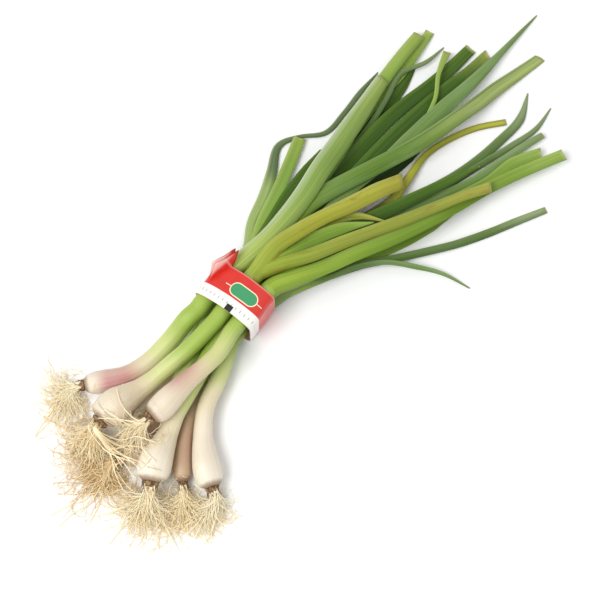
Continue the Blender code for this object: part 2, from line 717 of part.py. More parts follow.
def build_band(laid, group, helpers, material):
    """The printed ribbon: a closed loop round the stems, with its pinched ends standing off as a tab."""
    corners = band_outline(laid)
    verts = []
    for x in (-BAND_WIDTH / 2, BAND_WIDTH / 2):
        verts += [placed(tie_place(x, y), z) for y, z in corners]
    faces = []
    for k in range(BAND_SIDES):
        after = (k + 1) % BAND_SIDES
        faces.append((k, after, BAND_SIDES + after, BAND_SIDES + k))
    mesh = bpy.data.meshes.new("band")
    mesh.from_pydata(verts, [], faces)
    band = bpy.data.objects.new("band", mesh)
    group.objects.link(band)
    wall = band.modifiers.new("thickness", "SOLIDIFY")
    wall.thickness = BAND_THICK
    wall.offset = 1.0
    wall.use_even_offset = True
    apply_modifiers(band)

    middle = corners.mean(axis=0)
    shoulder = np.array((math.cos(TAB_ANGLE), math.sin(TAB_ANGLE)))
    out = np.array((math.cos(TAB_RISE), math.sin(TAB_RISE)))
    root = corners[np.argmax((corners - middle) @ shoulder)] + shoulder * BAND_THICK * 0.5
    tip = root + out * TAB_LENGTH
    knee = root + out * TAB_LENGTH * 0.5 + shoulder * TAB_KNEE
    verts = []
    for (y, z), lean in ((root, 0.0), (knee, TAB_LEAN * 0.5), (tip, TAB_LEAN)):
        for x in (-TAB_WIDTH / 2, 0.0, TAB_WIDTH / 2):
            verts.append(placed(tie_place(x + TAB_PLACE + lean, y), z))
    faces = [(3 * i + j, 3 * i + j + 1, 3 * i + j + 4, 3 * i + j + 3) for i in (0, 1) for j in (0, 1)]
    mesh = bpy.data.meshes.new("tab")
    mesh.from_pydata(verts, [], faces)
    tab = bpy.data.objects.new("tab", mesh)
    helpers.objects.link(tab)
    thick = tab.modifiers.new("thickness", "SOLIDIFY")
    thick.thickness = 1.2 * MM
    thick.offset = 0.0
    apply_modifiers(tab)
    join_all(band, [tab], helpers)
    press_flat(band.data)
    band.data.materials.clear()
    band.data.materials.append(material)
    return band


def main():
    clear_scene()
    group = make_collection("green_garlic_bunch")
    helpers = make_collection("helpers", cutter=True)
    leaf = make_material("stalk_skin", *STEM_LOOK)
    root = make_material("root_fibre", *ROOT_LOOK)
    ribbon = make_material("ribbon_print", *BAND_LOOK)
    laid = lay_bunch()
    for name, (stem, leaves, roots) in laid.items():
        build_stalk(name, stem, leaves, group, helpers, leaf)
        build_roots(name, stem, roots, group, helpers, root)
    build_band(laid, group, helpers, ribbon)


main()
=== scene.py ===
# Green garlic bunch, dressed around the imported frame.
# Stems, leaves and roots are laid on one another by the same rule as the solids, then drawn finer.
import math
import bpy
import numpy as np
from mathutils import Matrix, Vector


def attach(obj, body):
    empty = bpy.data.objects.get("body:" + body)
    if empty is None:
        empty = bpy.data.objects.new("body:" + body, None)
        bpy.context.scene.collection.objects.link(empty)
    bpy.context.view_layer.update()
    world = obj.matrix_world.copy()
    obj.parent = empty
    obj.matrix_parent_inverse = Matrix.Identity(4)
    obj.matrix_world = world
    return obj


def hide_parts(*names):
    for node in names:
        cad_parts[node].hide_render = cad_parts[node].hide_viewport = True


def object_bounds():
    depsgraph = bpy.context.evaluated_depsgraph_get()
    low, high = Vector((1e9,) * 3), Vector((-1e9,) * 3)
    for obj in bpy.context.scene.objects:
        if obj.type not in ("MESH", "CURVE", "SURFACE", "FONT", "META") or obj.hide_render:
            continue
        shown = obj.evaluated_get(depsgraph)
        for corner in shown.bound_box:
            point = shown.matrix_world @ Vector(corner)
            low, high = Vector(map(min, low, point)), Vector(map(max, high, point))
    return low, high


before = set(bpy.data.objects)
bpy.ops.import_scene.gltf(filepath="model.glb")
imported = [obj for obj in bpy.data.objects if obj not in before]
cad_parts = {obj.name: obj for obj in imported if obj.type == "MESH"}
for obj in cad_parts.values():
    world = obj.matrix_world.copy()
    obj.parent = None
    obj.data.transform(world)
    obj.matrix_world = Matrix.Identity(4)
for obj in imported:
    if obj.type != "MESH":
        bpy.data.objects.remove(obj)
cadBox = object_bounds()
mm = 0.001

# where the photograph was taken from; (u, v) points are read off it in its 600 x 600 frame
photoSize = 600
photoMiddle = (300.0, 300.0)
photoScale = 0.7 * mm  # size of a pixel at the middle of the table
viewDistance = 1.0
viewElevation = math.radians(72)
tieSeen = (236.0, 303.0)
tieHeight = 18 * mm
tieTurn = math.radians(9)
origin = (65.45 * mm, -16.78 * mm)  # middle of the bunch's box, from the tie

band = dict(width=27.5 * mm, thick=0.8 * mm, clear=0.6 * mm, tab=10.5 * mm, tabWidth=18 * mm,
            tabPlace=4 * mm, tabLean=12 * mm, tabAngle=math.radians(52), tabRise=math.radians(74))
leafThick = 0.9 * mm
leafStep = 22 * mm  # between stations, as on stems below
stemStep = 9 * mm
layGap = 0.7 * mm  # left over what lies below
tieReach = 16 * mm  # half the length that the tie holds straight
neckStart = 22 * mm  # leaves start here, past the middle of the tie
neckReach = 40 * mm  # stems end here, inside their leaves
neckArch = -0.75  # leaves wrap their stem, then open to their own fold over the next reach
neckArchReach = 60 * mm
nest = 0.8 * mm  # from one sheath to the next one in
droopReach = 110 * mm  # leaves come down from their stem over this length
leavesStack = 55 * mm  # from here on a leaf also lies on its own plant's other leaves
sheathWidth = dict(leaf=1.25, least=1.15, most=1.8)  # times its leaf's, within these times the stem's radius
sheathEnd = 0.9 * neckReach
tipHalf = 0.5 * mm  # half width of a pointed tip
bladeTop = 1.1  # leaf thicknesses that a leaf takes up in the pile
bulbStations = 4  # the first stations of a stem, which share one level axis
bulbNear = (0, 2, 5, 9, 15, 24)  # stations over the bulb, in mm from its base
bulbBase = ((0, 2, 5, 9), (0.52, 0.77, 0.94, 1.0))  # share of the radius, by mm
bulbSwell = ((0, 9, 15, 24, 34, 46), (1.0, 1.0, 0.92, 0.57, 0.20, 0.0))  # share of the swelling, by mm
neckTaper = 0.55  # a stem thins to this share inside its leaves
roundEdge = 0.96  # a round strip is sampled out to this share of its radius
stationReach = 1.02  # a station answers for what lies this many stations off
smoothings = 4  # times that a strip's heights are smoothed
plateGap = 0.4 * mm
plateDepth = 3.5 * mm
cell = 0.5 * mm  # the table's height map
mapX = (-0.26, 0.36)
mapY = (-0.18, 0.16)

# The plants, bottom of the pile first. slot and neck are a stem's place across the bunch, in mm, in the tie
# and where its leaves part; bulb and shank are its radii in mm. roots are their heading in the picture
# (right, down), their spread in degrees, and the stout ones' number and length in mm. blush is how red the
# bulb is, flush where round it, tan how brown. A leaf is its points (u, v, width in mm), its fold, a roof
# where negative, its tip and its colours.
plants = {
    "c": dict(
        stem=[(126, 416), (144, 400), (168, 375), (190, 351)],
        slot=12.8, neck=14.5, bulb=7.2, shank=5.9, roots=(-0.4, 1, 50, 9, 50),
        blush=0.1, flush=0.1, tan=0.2,
        leaves={
            "fold": ([(248, 236, 9), (261, 206, 9), (270, 178, 8), (277, 150, 6), (284, 135, 4),
                      (300, 137, 3), (319, 136, 4), (336, 124, 4), (352, 102, 4),
                      (378, 72, 4)], 0.25, "point", "gray"),
            "left": ([(256, 237, 9), (268, 210, 9), (281, 184, 9), (291, 160, 9),
                      (300, 138, 9)], 0.35, "cut", "lime"),
            "dark": ([(262, 238, 9), (276, 213, 8), (290, 190, 7), (306, 170, 7),
                      (323, 151, 5)], 0.30, "cut", "deep"),
        }),
    "g": dict(
        stem=[(183, 482), (182, 465), (184, 440), (190, 413), (199, 390)],
        slot=0.2, neck=1, bulb=6.6, shank=5.2, roots=(-0.5, 1, 45, 10, 50),
        blush=0.25, flush=0.1, tan=0.9,
        leaves={
            "keel": ([(290, 220, 10), (318, 186, 10), (345, 157, 10), (370, 128, 10), (394, 98, 9),
                      (417, 64, 6)], 0.45, "point", "deep"),
            "far": ([(285, 225, 8), (318, 178, 9), (350, 135, 9), (376, 100, 9), (402, 72, 8),
                     (430, 32, 7)], 0.30, "cut", "lime"),
            "curl": ([(300, 214, 4), (335, 170, 4), (368, 128, 4), (386, 99, 4), (398, 76, 4), (415, 65, 4),
                      (430, 60, 3), (444, 47, 2)], 0.25, "point", "blue"),
        }),
    "h": dict(
        stem=[(212, 487), (207, 470), (203, 440), (206, 408), (219, 378)],
        slot=-11.8, neck=-20, bulb=9.8, shank=6.0, roots=(-0.8, 1, 36, 10, 46),
        blush=0.05, flush=0.1, tan=0,
        leaves={
            "low": ([(300, 284, 12), (345, 264, 12), (395, 244, 12), (430, 226, 10),
                     (456, 212, 5)], 0.25, "point", "lime"),
            "side": ([(318, 279, 6), (350, 268, 6), (380, 261, 6), (408, 256, 6), (432, 250, 6),
                      (470, 240, 6), (508, 225, 6), (546, 210, 5)], 0.30, "cut", "blue"),
            "thin": ([(320, 280, 4), (352, 268, 4), (384, 262, 4), (412, 266, 4), (441, 273, 3),
                      (470, 288, 2)], 0.25, "point", "mist"),
        }),
    "f": dict(
        stem=[(122, 459), (135, 452), (152, 428), (172, 400)],
        slot=6.2, neck=6.5, bulb=8.2, shank=5.7, roots=(-0.7, 0.8, 50, 11, 62),
        blush=0.45, flush=0.1, tan=0.7,
        leaves={
            "under": ([(298, 236, 9), (335, 210, 11), (372, 186, 11), (405, 160, 9),
                       (430, 140, 4)], 0.30, "point", "shade"),
            "upper": ([(290, 232, 10), (325, 188, 11), (362, 147, 11), (400, 110, 11), (438, 80, 11),
                       (471, 49, 9)], 0.30, "cut", "deep"),
            "middle": ([(295, 234, 9), (335, 198, 11), (376, 157, 12), (409, 126, 12), (432, 105, 11),
                        (454, 86, 10), (473, 71, 9), (488, 55, 8)], 0.35, "cut", "moss"),
            "stalk": ([(300, 240, 3), (345, 200, 3), (385, 166, 3), (412, 140, 3), (427, 119, 3),
                       (434, 104, 3), (437, 83, 3), (440, 69, 4), (447, 52, 6)], 0.30, "cut", "lime"),
            "long": ([(300, 236, 8), (345, 195, 8), (385, 162, 9), (408, 142, 11), (432, 121, 12),
                      (458, 98, 11), (482, 75, 8), (508, 46, 4), (537, 15, 2)], 0.30, "point", "mist"),
        }),
    "e": dict(
        stem=[(151, 482), (155, 465), (165, 440), (178, 412), (193, 388)],
        slot=-6.2, neck=-9, bulb=11.6, shank=5.9, roots=(-0.5, 1, 60, 11, 58),
        blush=0.05, flush=0.1, tan=0,
        leaves={
            "rise": ([(300, 258, 8), (345, 236, 8), (392, 208, 8), (440, 185, 7), (478, 160, 7),
                      (508, 133, 7), (524, 113, 6), (528, 93, 3)], 0.30, "point", "blue"),
            "thin": ([(300, 262, 5), (345, 240, 5), (390, 216, 5), (432, 195, 5), (471, 171, 5),
                      (506, 149, 5), (532, 133, 4), (551, 108, 2)], 0.25, "point", "blue"),
            "even": ([(305, 262, 6), (350, 243, 6), (400, 214, 6), (440, 196, 6), (476, 179, 6),
                      (512, 154, 6), (543, 135, 5)], 0.25, "cut", "mist"),
            "olive": ([(308, 266, 7), (352, 248, 7), (402, 223, 7), (446, 203, 7), (489, 181, 7),
                       (514, 163, 9), (541, 153, 8)], 0.30, "cut", "fresh"),
            "bend": ([(300, 254, 6), (345, 229, 6), (378, 209, 7), (400, 193, 7), (411, 174, 6),
                      (425, 156, 5), (448, 140, 5), (476, 128, 5), (506, 122, 5)], 0.20, "cut", "rust"),
            "dark": ([(300, 252, 9), (335, 236, 10), (370, 219, 10), (410, 200, 9), (448, 182, 7),
                      (480, 166, 4)], 0.30, "point", "deep"),
        }),
    "a": dict(
        stem=[(85, 385), (100, 382), (126, 376), (150, 361), (182, 334)],
        slot=15.8, neck=9, bulb=7.9, shank=6.7, roots=(-0.35, 1, 34, 10, 48),
        blush=1, flush=0.1, tan=0.1,
        leaves={
            "back": ([(276, 234, 12), (306, 196, 12), (334, 158, 12), (358, 118, 11), (386, 76, 10),
                      (419, 35, 9)], -0.30, "cut", "lime"),
            "wide": ([(282, 230, 12), (305, 207, 13), (330, 190, 13), (380, 164, 13), (414, 146, 12),
                      (460, 117, 11), (495, 90, 11), (540, 58, 8)], -0.22, "cut", "jade"),
            "main": ([(270, 236, 14), (298, 203, 15), (324, 163, 15), (347, 132, 15), (364, 107, 13),
                      (383, 79, 10)], -0.30, "cut", "pale"),
        }),
    "d": dict(
        stem=[(151, 416), (165, 404), (190, 380), (216, 356)],
        slot=-13.6, neck=-20, bulb=9.1, shank=5.9, roots=(-0.9, 0.45, 42, 12, 46),
        blush=0.8, flush=0.4, tan=0.3,
        leaves={
            "inner": ([(300, 272, 9), (345, 252, 8), (395, 230, 7), (430, 212, 4)], 0.30, "point", "deep"),
            "green": ([(296, 278, 11), (345, 258, 11), (395, 237, 11), (440, 215, 10), (480, 193, 9),
                       (520, 173, 9), (564, 155, 9)], 0.30, "cut", "fresh"),
        }),
    "b": dict(
        stem=[(101, 420), (113, 408), (150, 382), (190, 352)],
        slot=-0.3, neck=-3, bulb=12, shank=5.9, roots=(-0.15, 1, 48, 12, 58),
        blush=0.1, flush=0.1, tan=0.2,
        leaves={
            "sprout": ([(300, 246, 4), (319, 230, 4), (336, 219, 6), (352, 216, 6), (368, 217, 4),
                        (386, 221, 2)], 0.25, "point", "gold"),
            "short": ([(288, 255, 9), (306, 243, 10), (330, 232, 10), (352, 226, 7),
                       (374, 222, 3)], 0.25, "point", "fresh"),
            "gold": ([(286, 264, 11), (330, 247, 10), (375, 230, 9), (415, 215, 9), (450, 201, 8),
                      (491, 187, 8)], -0.25, "cut", "gold"),
            "amber": ([(278, 244, 12), (312, 222, 11), (330, 213, 11), (368, 195, 13),
                       (386, 184.5, 12), (404, 174, 11)], -0.20, "cut", "amber"),
        }),
}


def onGround(u, v, height):  # place right and up the picture that a photo point shows at this height
    focal = viewDistance / photoScale
    rise = (photoMiddle[1] - v) / focal
    sine, cosine = math.sin(viewElevation), math.cos(viewElevation)
    up = (rise * (viewDistance - height * sine) - height * cosine) / (sine - rise * cosine)
    depth = viewDistance + up * cosine - height * sine
    return (u - photoMiddle[0]) / focal * depth, up


def seen(u, v, height):  # photo point as x along and y across the bunch, from the tie
    right, up = onGround(u, v, height)
    tieRight, tieUp = onGround(*tieSeen, tieHeight)
    right, up = right - tieRight, up - tieUp
    return np.array((right + up, up - right)) * math.sqrt(0.5)


def tiePlace(along, across):  # from the tie's own axes, which lie turned a little, to x and y
    cosine, sine = math.cos(tieTurn), math.sin(tieTurn)
    return np.array((along * cosine - across * sine, along * sine + across * cosine))


# Catmull-Rom curve from b at t = 0 to c at t = 1: it leaves b as a line from a to c heads, and meets c as one
# from b to d does.
def cubic(a, b, c, d, t):
    squared = (2 * a - 5 * b + 4 * c - d) * t ** 2
    return 0.5 * (2 * b + (c - a) * t + squared + (3 * b - a - 3 * c + d) * t ** 3)


def withEnds(points):  # one more row at each end, as far off as its neighbour
    return np.vstack((2 * points[0] - points[1], points, 2 * points[-1] - points[-2]))


def smoothPath(points, distances):  # cubic through the rows, sampled at these distances along it
    points = np.asarray(points, float)
    ends = withEnds(points)
    t = np.linspace(0, 1, 24, endpoint=False)[:, None]
    pieces = [cubic(*ends[k:k + 4], t) for k in range(len(points) - 1)]
    fine = np.vstack(pieces + [points[-1:]])
    run = np.concatenate(([0], np.cumsum(np.hypot(*np.diff(fine[:, :2], axis=0).T))))
    where = distances(run[-1])
    return np.column_stack([np.interp(where, run, column) for column in fine.T])


def evenSteps(step):  # places about a step apart over any length, five at least
    return lambda length: np.linspace(0, length, max(5, round(length / step) + 1))


def sideOf(path):  # level direction square to the path at each point
    legs = np.diff(path[:, :2], axis=0)
    legs = legs / np.linalg.norm(legs, axis=1)[:, None]
    along = np.vstack((legs[:1], legs[:-1] + legs[1:], legs[-1:]))
    along = along / np.linalg.norm(along, axis=1)[:, None]
    return np.column_stack((-along[:, 1], along[:, 0]))


class Pile:  # height that the pieces laid so far reach over each cell of the table
    def __init__(self):
        self.shape = (round((mapX[1] - mapX[0]) / cell), round((mapY[1] - mapY[0]) / cell))
        self.top = np.zeros(self.shape)

    def cells(self, xy):
        column = np.clip(((xy[..., 0] - mapX[0]) / cell).astype(int), 1, self.shape[0] - 2)
        row = np.clip(((xy[..., 1] - mapY[0]) / cell).astype(int), 1, self.shape[1] - 2)
        return column, row

    def under(self, xy):  # highest of the nine cells round each point
        column, row = self.cells(xy)
        return np.max([self.top[column + i, row + j] for i in (-1, 0, 1) for j in (-1, 0, 1)], axis=0)

    def add(self, xy, height):
        np.maximum.at(self.top, self.cells(xy), height)

    def copy(self):
        other = Pile()
        other.top = self.top.copy()
        return other


class Strip:  # a stem, root or leaf as stations along a path, with a half width, a fold and a height
    def __init__(self, path, half, kind, fold=0.0):
        self.path = np.asarray(path, float)[:, :2]
        self.half = np.asarray(half, float)
        self.side = sideOf(self.path)
        self.kind = kind
        self.fold = np.broadcast_to(np.asarray(fold, float), self.half.shape)
        self.height = np.zeros(len(self.half))
        self.run = np.concatenate(([0], np.cumsum(np.hypot(*np.diff(self.path, axis=0).T))))

    def fine(self):  # sample places over the whole strip, a cell apart, from edge to edge
        count = max(2, int(self.run[-1] / cell))
        station = np.interp(np.linspace(0, self.run[-1], count), self.run, np.arange(len(self.run)))
        reach = roundEdge if self.kind == "round" else 1.0
        across = np.linspace(-reach, reach, 2 * max(2, math.ceil(self.half.max() / cell)) + 1)
        centre = between(self.path, station)
        side = between(self.side, station)
        half = between(self.half[:, None], station)[:, 0]
        xy = centre[:, None] + side[:, None] * (half[:, None] * across)[..., None]
        return station, xy, half[:, None], across, between(self.fold[:, None], station)

    def underside(self, half, across, fold):  # over the strip's height: half a circle, a V or a roof
        if self.kind == "round":
            return half * (1 - np.sqrt(np.maximum(0, 1 - across ** 2)))
        return half * (np.maximum(fold, 0) * np.abs(across) + np.maximum(-fold, 0) * (1 - np.abs(across)))

    def topside(self, half, across, fold):  # the other half circle, or the underside plus a thickness
        if self.kind == "round":
            return half * (1 + np.sqrt(np.maximum(0, 1 - across ** 2)))
        return self.underside(half, across, fold) + leafThick * bladeTop

    def need(self, pile):  # least height at each station that keeps clear of the pile
        station, xy, half, across, fold = self.fine()
        below = pile.under(xy)
        lift = np.where(below > 0, below + layGap, 0) - self.underside(half, across, fold)
        sample = lift.max(axis=1)
        least = [sample[np.abs(station - k) <= stationReach].max() for k in range(len(self.run))]
        return np.array(least), station, sample

    def settle(self, pile, hand, pinned=0):  # as high as wished, no lower than the pile asks, then evened
        least = np.maximum(self.need(pile)[0], 0)
        height = np.maximum(hand, least)
        for _ in range(smoothings):
            even = height.copy()
            even[1:-1] = (height[:-2] + 2 * height[1:-1] + height[2:]) / 4
            even[:pinned] = hand[:pinned]
            height = np.maximum(even, np.where(np.arange(len(even)) < pinned, 0, least))
        self.height = height

    def stamp(self, pile):  # raise the pile to the strip's upper side
        station, xy, half, across, fold = self.fine()
        pile.add(xy, between(self.height[:, None], station) + self.topside(half, across, fold))


def between(rows, station):  # rows blended in line between the nearest two stations
    lower = np.minimum(station.astype(int), len(rows) - 2)
    share = (station - lower)[:, None]
    return rows[lower] * (1 - share) + rows[lower + 1] * share


def bulbRadius(run, bulb, shank, length):  # rounded base, widest just above it, narrowing into the stem
    swell = np.interp(run / mm, *bulbSwell)
    base = np.interp(run / mm, *bulbBase)
    radius = (shank + (bulb - shank) * swell) * base * mm
    neck = length - (neckReach - tieReach)
    return radius * np.interp(run, (neck, length), (1.0, neckTaper))


def inTie(plant, along):  # a stem's place along the tie, moving in line from its slot to its neck
    share = max(along, 0) / neckReach
    return tiePlace(along, (plant["slot"] + (plant["neck"] - plant["slot"]) * share) * mm)


def layStem(plant, pile, guess):  # through the places where the photo shows it, then through the tie
    outer = [seen(u, v, guess) for u, v in plant["stem"]] + [inTie(plant, -tieReach - 6 * mm)]

    def spaced(length):  # close together over the bulb, then even
        near = np.array(bulbNear) * mm
        count = round((length - near[-1]) / stemStep) + 1
        return np.concatenate((near, np.linspace(near[-1], length, count)[1:]))

    tiePath = [inTie(plant, along) for along in (-tieReach, 0, tieReach, neckReach * 0.7, neckReach)]
    path = np.vstack((smoothPath(outer, spaced), tiePath))
    strip = Strip(path, np.ones(len(path)), "round")
    strip.half = bulbRadius(strip.run, plant["bulb"], plant["shank"], strip.run[-1])
    atTie = np.interp(path[:, 0], (-4 * tieReach, -1.6 * tieReach), (0, 1))
    strip.settle(pile, atTie * (band["thick"] + band["clear"] + 0.2 * mm))
    base = strip.half[:bulbStations]
    strip.height[:bulbStations] = (strip.height[:bulbStations] + base).max() - base
    return strip


def leafStrip(plant, leaf, guess):  # from its sheath through the places where the photo shows the leaf
    points, fold, tip, _ = leaf
    least, most = plant["shank"] * sheathWidth["least"], plant["shank"] * sheathWidth["most"]
    first = np.clip(points[0][2] * sheathWidth["leaf"], least, most)
    rows = [(*inTie(plant, neckStart), first), (*inTie(plant, sheathEnd), first)]
    for (u, v, width), height in zip(points, guess):
        rows.append((*seen(u, v, height), width))
    path = smoothPath(rows, evenSteps(leafStep))
    half = path[:, 2] * mm / 2
    if tip == "point":
        half[-1] = min(half[-1], tipHalf)
    strip = Strip(path, half, "leaf")
    strip.fold = np.interp(strip.run, (0, neckArchReach), (neckArch, fold))
    return strip


def layLeaf(strip, stem, own, depth):  # from the stem's top, down half a cosine wave, on to the pile
    start = np.interp(strip.path[:, 0], stem.path[:, 0], stem.height + stem.half)
    droop = 0.5 + 0.5 * np.cos(np.pi * np.clip(strip.run / droopReach, 0, 1))
    strip.settle(own, (start[0] - leafThick / 2 - nest * depth) * droop, pinned=1)


def basePlate(stem):  # a short tapered disc a gap behind the bulb
    away = stem.path[0] - stem.path[1]
    away = away / np.hypot(*away)
    near = stem.path[0] + away * plateGap
    plate = Strip([near, near + away * plateDepth], stem.half[0] * np.array((0.9, 0.7)), "round")
    plate.height = stem.height[0] + stem.half[0] - plate.half
    return plate


def layBunch():  # every plant, three times over, as heights move where the photo shows a point
    heights = {}
    for _ in range(3):
        pile = Pile()
        laid = {}
        for name, plant in plants.items():
            stem = layStem(plant, pile, heights.get(name, 10 * mm))
            heights[name] = float(np.mean((stem.height + stem.half)[:8]))
            basePlate(stem).stamp(pile)
            leaves = {}
            own = pile.copy()
            for k, (leafName, leaf) in enumerate(plant["leaves"].items()):
                guess = heights.get((name, leafName), [8 * mm] * len(leaf[0]))
                strip = leafStrip(plant, leaf, guess)
                layLeaf(strip, stem, own, len(plant["leaves"]) - 1 - k)
                places = np.array([seen(u, v, h) for (u, v, _), h in zip(leaf[0], guess)])
                nearest = [np.argmin(np.hypot(*(strip.path - place).T)) for place in places]
                heights[name, leafName] = [float(strip.height[n]) + leafThick for n in nearest]
                far = own.copy()
                strip.stamp(far)
                start = int((leavesStack - mapX[0]) / cell)
                own.top[start:] = far.top[start:]
                leaves[leafName] = strip
            stem.stamp(pile)
            for strip in leaves.values():
                strip.stamp(pile)
            laid[name] = (stem, leaves)
    return laid


def inFrame(points):  # from the tie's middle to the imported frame
    return points - np.array((origin[0], origin[1], 0.0))


laid = layBunch()
print("laid", len(laid), "plants")


def heading(du, dv):  # a direction in the picture as an angle on the table
    return math.atan2(-dv - du, du - dv)


rootRule = dict(radius=0.75 * mm, step=13 * mm, tries=400, seed=11, shortest=0.55, bend=0.35, loft=6 * mm,
                climb=1.6, tip=0.6,  # steepest rise for its step, and its tip's share of the radius
                first=0.6, spread=0.3)  # the first leg's share of a step and turn, and of the plate's radius


def clearOfOthers(name, rooted):  # the pile without one plant's own plate and roots
    ground = Pile()
    for other, (stem, leaves) in laid.items():
        stem.stamp(ground)
        for strip in leaves.values():
            strip.stamp(ground)
        if other != name:
            basePlate(stem).stamp(ground)
            for strip in rooted.get(other, []):
                strip.stamp(ground)
    return ground


def layRoots(plant, stem, ground, rng):  # the solids' own roots: walks from the plate, drawn by the same seed
    du, dv, spread, count, length = plant["roots"]
    rule = rootRule
    radius, step, first = rule["radius"], rule["step"], rule["first"]
    away = stem.path[0] - stem.path[1]
    away = away / np.hypot(*away)
    middle = stem.path[0] + away * (plateGap + plateDepth / 2)
    centre = stem.height[0] + stem.half[0]
    aim = heading(du, dv)
    back = math.atan2(away[1], away[0])
    roots = []
    for _ in range(rule["tries"]):
        if len(roots) == count:
            break
        angle = aim + math.radians(spread) * rng.uniform(-1, 1)
        if math.cos(angle - back) < -0.1:
            continue
        steps = max(3, round(length * mm * rng.uniform(rule["shortest"], 1.0) / step))
        bend = rng.uniform(-rule["bend"], rule["bend"])
        turns = angle + np.cumsum(rng.normal(bend, rule["bend"], steps))
        turns[0] = back + first * math.remainder(angle - back, 2 * math.pi)
        legs = np.column_stack((np.cos(turns), np.sin(turns))) * step
        legs[0] *= first
        path = middle + np.vstack((np.zeros((1, 2)), np.cumsum(legs, axis=0)))
        strip = Strip(path, np.linspace(1.0, rule["tip"], steps + 1) * radius, "round")
        least, station, sample = strip.need(ground)
        loft = rng.uniform(0, rule["loft"])
        hand = loft * np.linspace(1, 0, steps + 1)
        hand[0] = centre - radius + rng.uniform(-rule["spread"], rule["spread"]) * stem.half[0]
        strip.height = np.maximum(hand, np.where(np.arange(steps + 1) > 0, least, 0))
        height = np.interp(station, np.arange(steps + 1), strip.height)
        outside = (station * first * step > plateDepth / 2) | (station > 1)
        steepest = np.abs(np.diff(strip.height)).max()
        if (height - sample)[outside].min() < 0 or steepest > rule["climb"] * step:
            continue
        roots.append(strip)
    return roots


# Mesh and material tools

def addPiece(name, points, faces, fields):  # a mesh, with one value for each point in every field
    mesh = bpy.data.meshes.new(name)
    mesh.from_pydata(points.tolist(), [], faces)
    for key, values in fields.items():
        mesh.attributes.new(key, "FLOAT", "POINT").data.foreach_set("value", values.astype(np.float32))
    mesh.update()
    piece = bpy.data.objects.new(name, mesh)
    bpy.context.scene.collection.objects.link(piece)
    return piece


def makeMesh(name, parts):  # closed tubes: quads between rings (rows, columns, 3), and a fan over each end
    verts, faces, fields, base = [], [], {}, 0
    for rings, given in parts:
        rows, cols = rings.shape[:2]
        r, c = np.arange(rows - 1)[:, None] * cols, np.arange(cols)
        n = (c + 1) % cols
        body = np.stack((r + c, r + n, r + n + cols, r + c + cols), -1).reshape(-1, 4)
        head, tail = rows * cols, rows * cols + 1
        starts = np.stack((np.full(cols, head), n, c), -1)
        ends = np.stack((np.full(cols, tail), c + head - cols, n + head - cols), -1)
        points = np.vstack((rings.reshape(-1, 3), rings[0].mean(axis=0), rings[-1].mean(axis=0)))
        a, b, c, d = [points[body[:, k]] - points.mean(axis=0) for k in range(4)]
        if np.einsum("ij,ij->", a, np.cross(b, c) + np.cross(c, d)) < 0:  # inside out
            body, starts, ends = body[:, ::-1], starts[:, ::-1], ends[:, ::-1]
        faces += (body + base).tolist() + (starts + base).tolist() + (ends + base).tolist()
        verts.append(points)
        base += len(points)
        for key, value in given.items():
            value = np.broadcast_to(value, (rows, cols))
            flat = np.concatenate((value.ravel(), [value[0].mean(), value[-1].mean()]))
            fields.setdefault(key, []).append(flat)
    fields = {key: np.concatenate(values) for key, values in fields.items()}
    piece = addPiece(name, inFrame(np.vstack(verts)), faces, fields)
    piece.data.polygons.foreach_set("use_smooth", np.ones(len(faces), bool))
    piece.data.update()
    return piece


def tubeRings(path, radius, sides):  # circles of points square to a path of 3D points
    along = np.gradient(path, axis=0)
    along /= np.linalg.norm(along, axis=1)[:, None]
    side = np.cross(along, (0, 0, 1.0))
    side /= np.linalg.norm(side, axis=1)[:, None] + 1e-12
    rise = np.cross(side, along)
    turn = np.linspace(0, 2 * np.pi, sides, endpoint=False)
    if np.ndim(radius) < 2:
        radius = np.broadcast_to(radius, len(path))[:, None]
    wide = side[:, None] * (np.cos(turn) * radius)[..., None]
    tall = rise[:, None] * (np.sin(turn) * radius)[..., None]
    return path[:, None] + wide + tall


def curveThrough(points, count):  # the same cubic, at this many places that are even by row
    points = np.asarray(points, float)
    ends = withEnds(points)
    at = np.linspace(0, len(points) - 1, count)
    k = np.minimum(at.astype(int), len(points) - 2)
    return cubic(ends[k], ends[k + 1], ends[k + 2], ends[k + 3], (at - k)[:, None])


def linear(colour):  # from a colour as seen on screen, 0 to 255, by the sRGB curve
    values = np.array(colour) / 255
    return tuple(np.where(values <= 0.04045, values / 12.92, ((values + 0.055) / 1.055) ** 2.4))


subtract = dict(operation="SUBTRACT")


class Wire:  # one value in a material, with arithmetic
    def __init__(self, shader, socket):
        self.shader, self.socket = shader, socket

    def maths(self, kind, *others):
        return self.shader.node("ShaderNodeMath", dict(operation=kind), self, *others)

    def __add__(self, other): return self.maths("ADD", other)
    def __radd__(self, other): return self.maths("ADD", other)
    def __sub__(self, other): return self.maths("SUBTRACT", other)
    def __rsub__(self, other): return self.shader.node("ShaderNodeMath", subtract, other, self)
    def __mul__(self, other): return self.maths("MULTIPLY", other)
    def __rmul__(self, other): return self.maths("MULTIPLY", other)
    def __pow__(self, other): return self.maths("POWER", other)
    def abs(self): return self.maths("ABSOLUTE")
    def sin(self): return self.maths("SINE")
    def low(self, other): return self.maths("MINIMUM", other)
    def high(self, other): return self.maths("MAXIMUM", other)
    def over(self, other): return self.maths("GREATER_THAN", other)

    def ramp(self, start, end):  # smooth 0 to 1 from start to end
        settings = dict(interpolation_type="SMOOTHSTEP", clamp=True)
        return self.shader.node("ShaderNodeMapRange", settings, self, start, end, 0.0, 1.0)


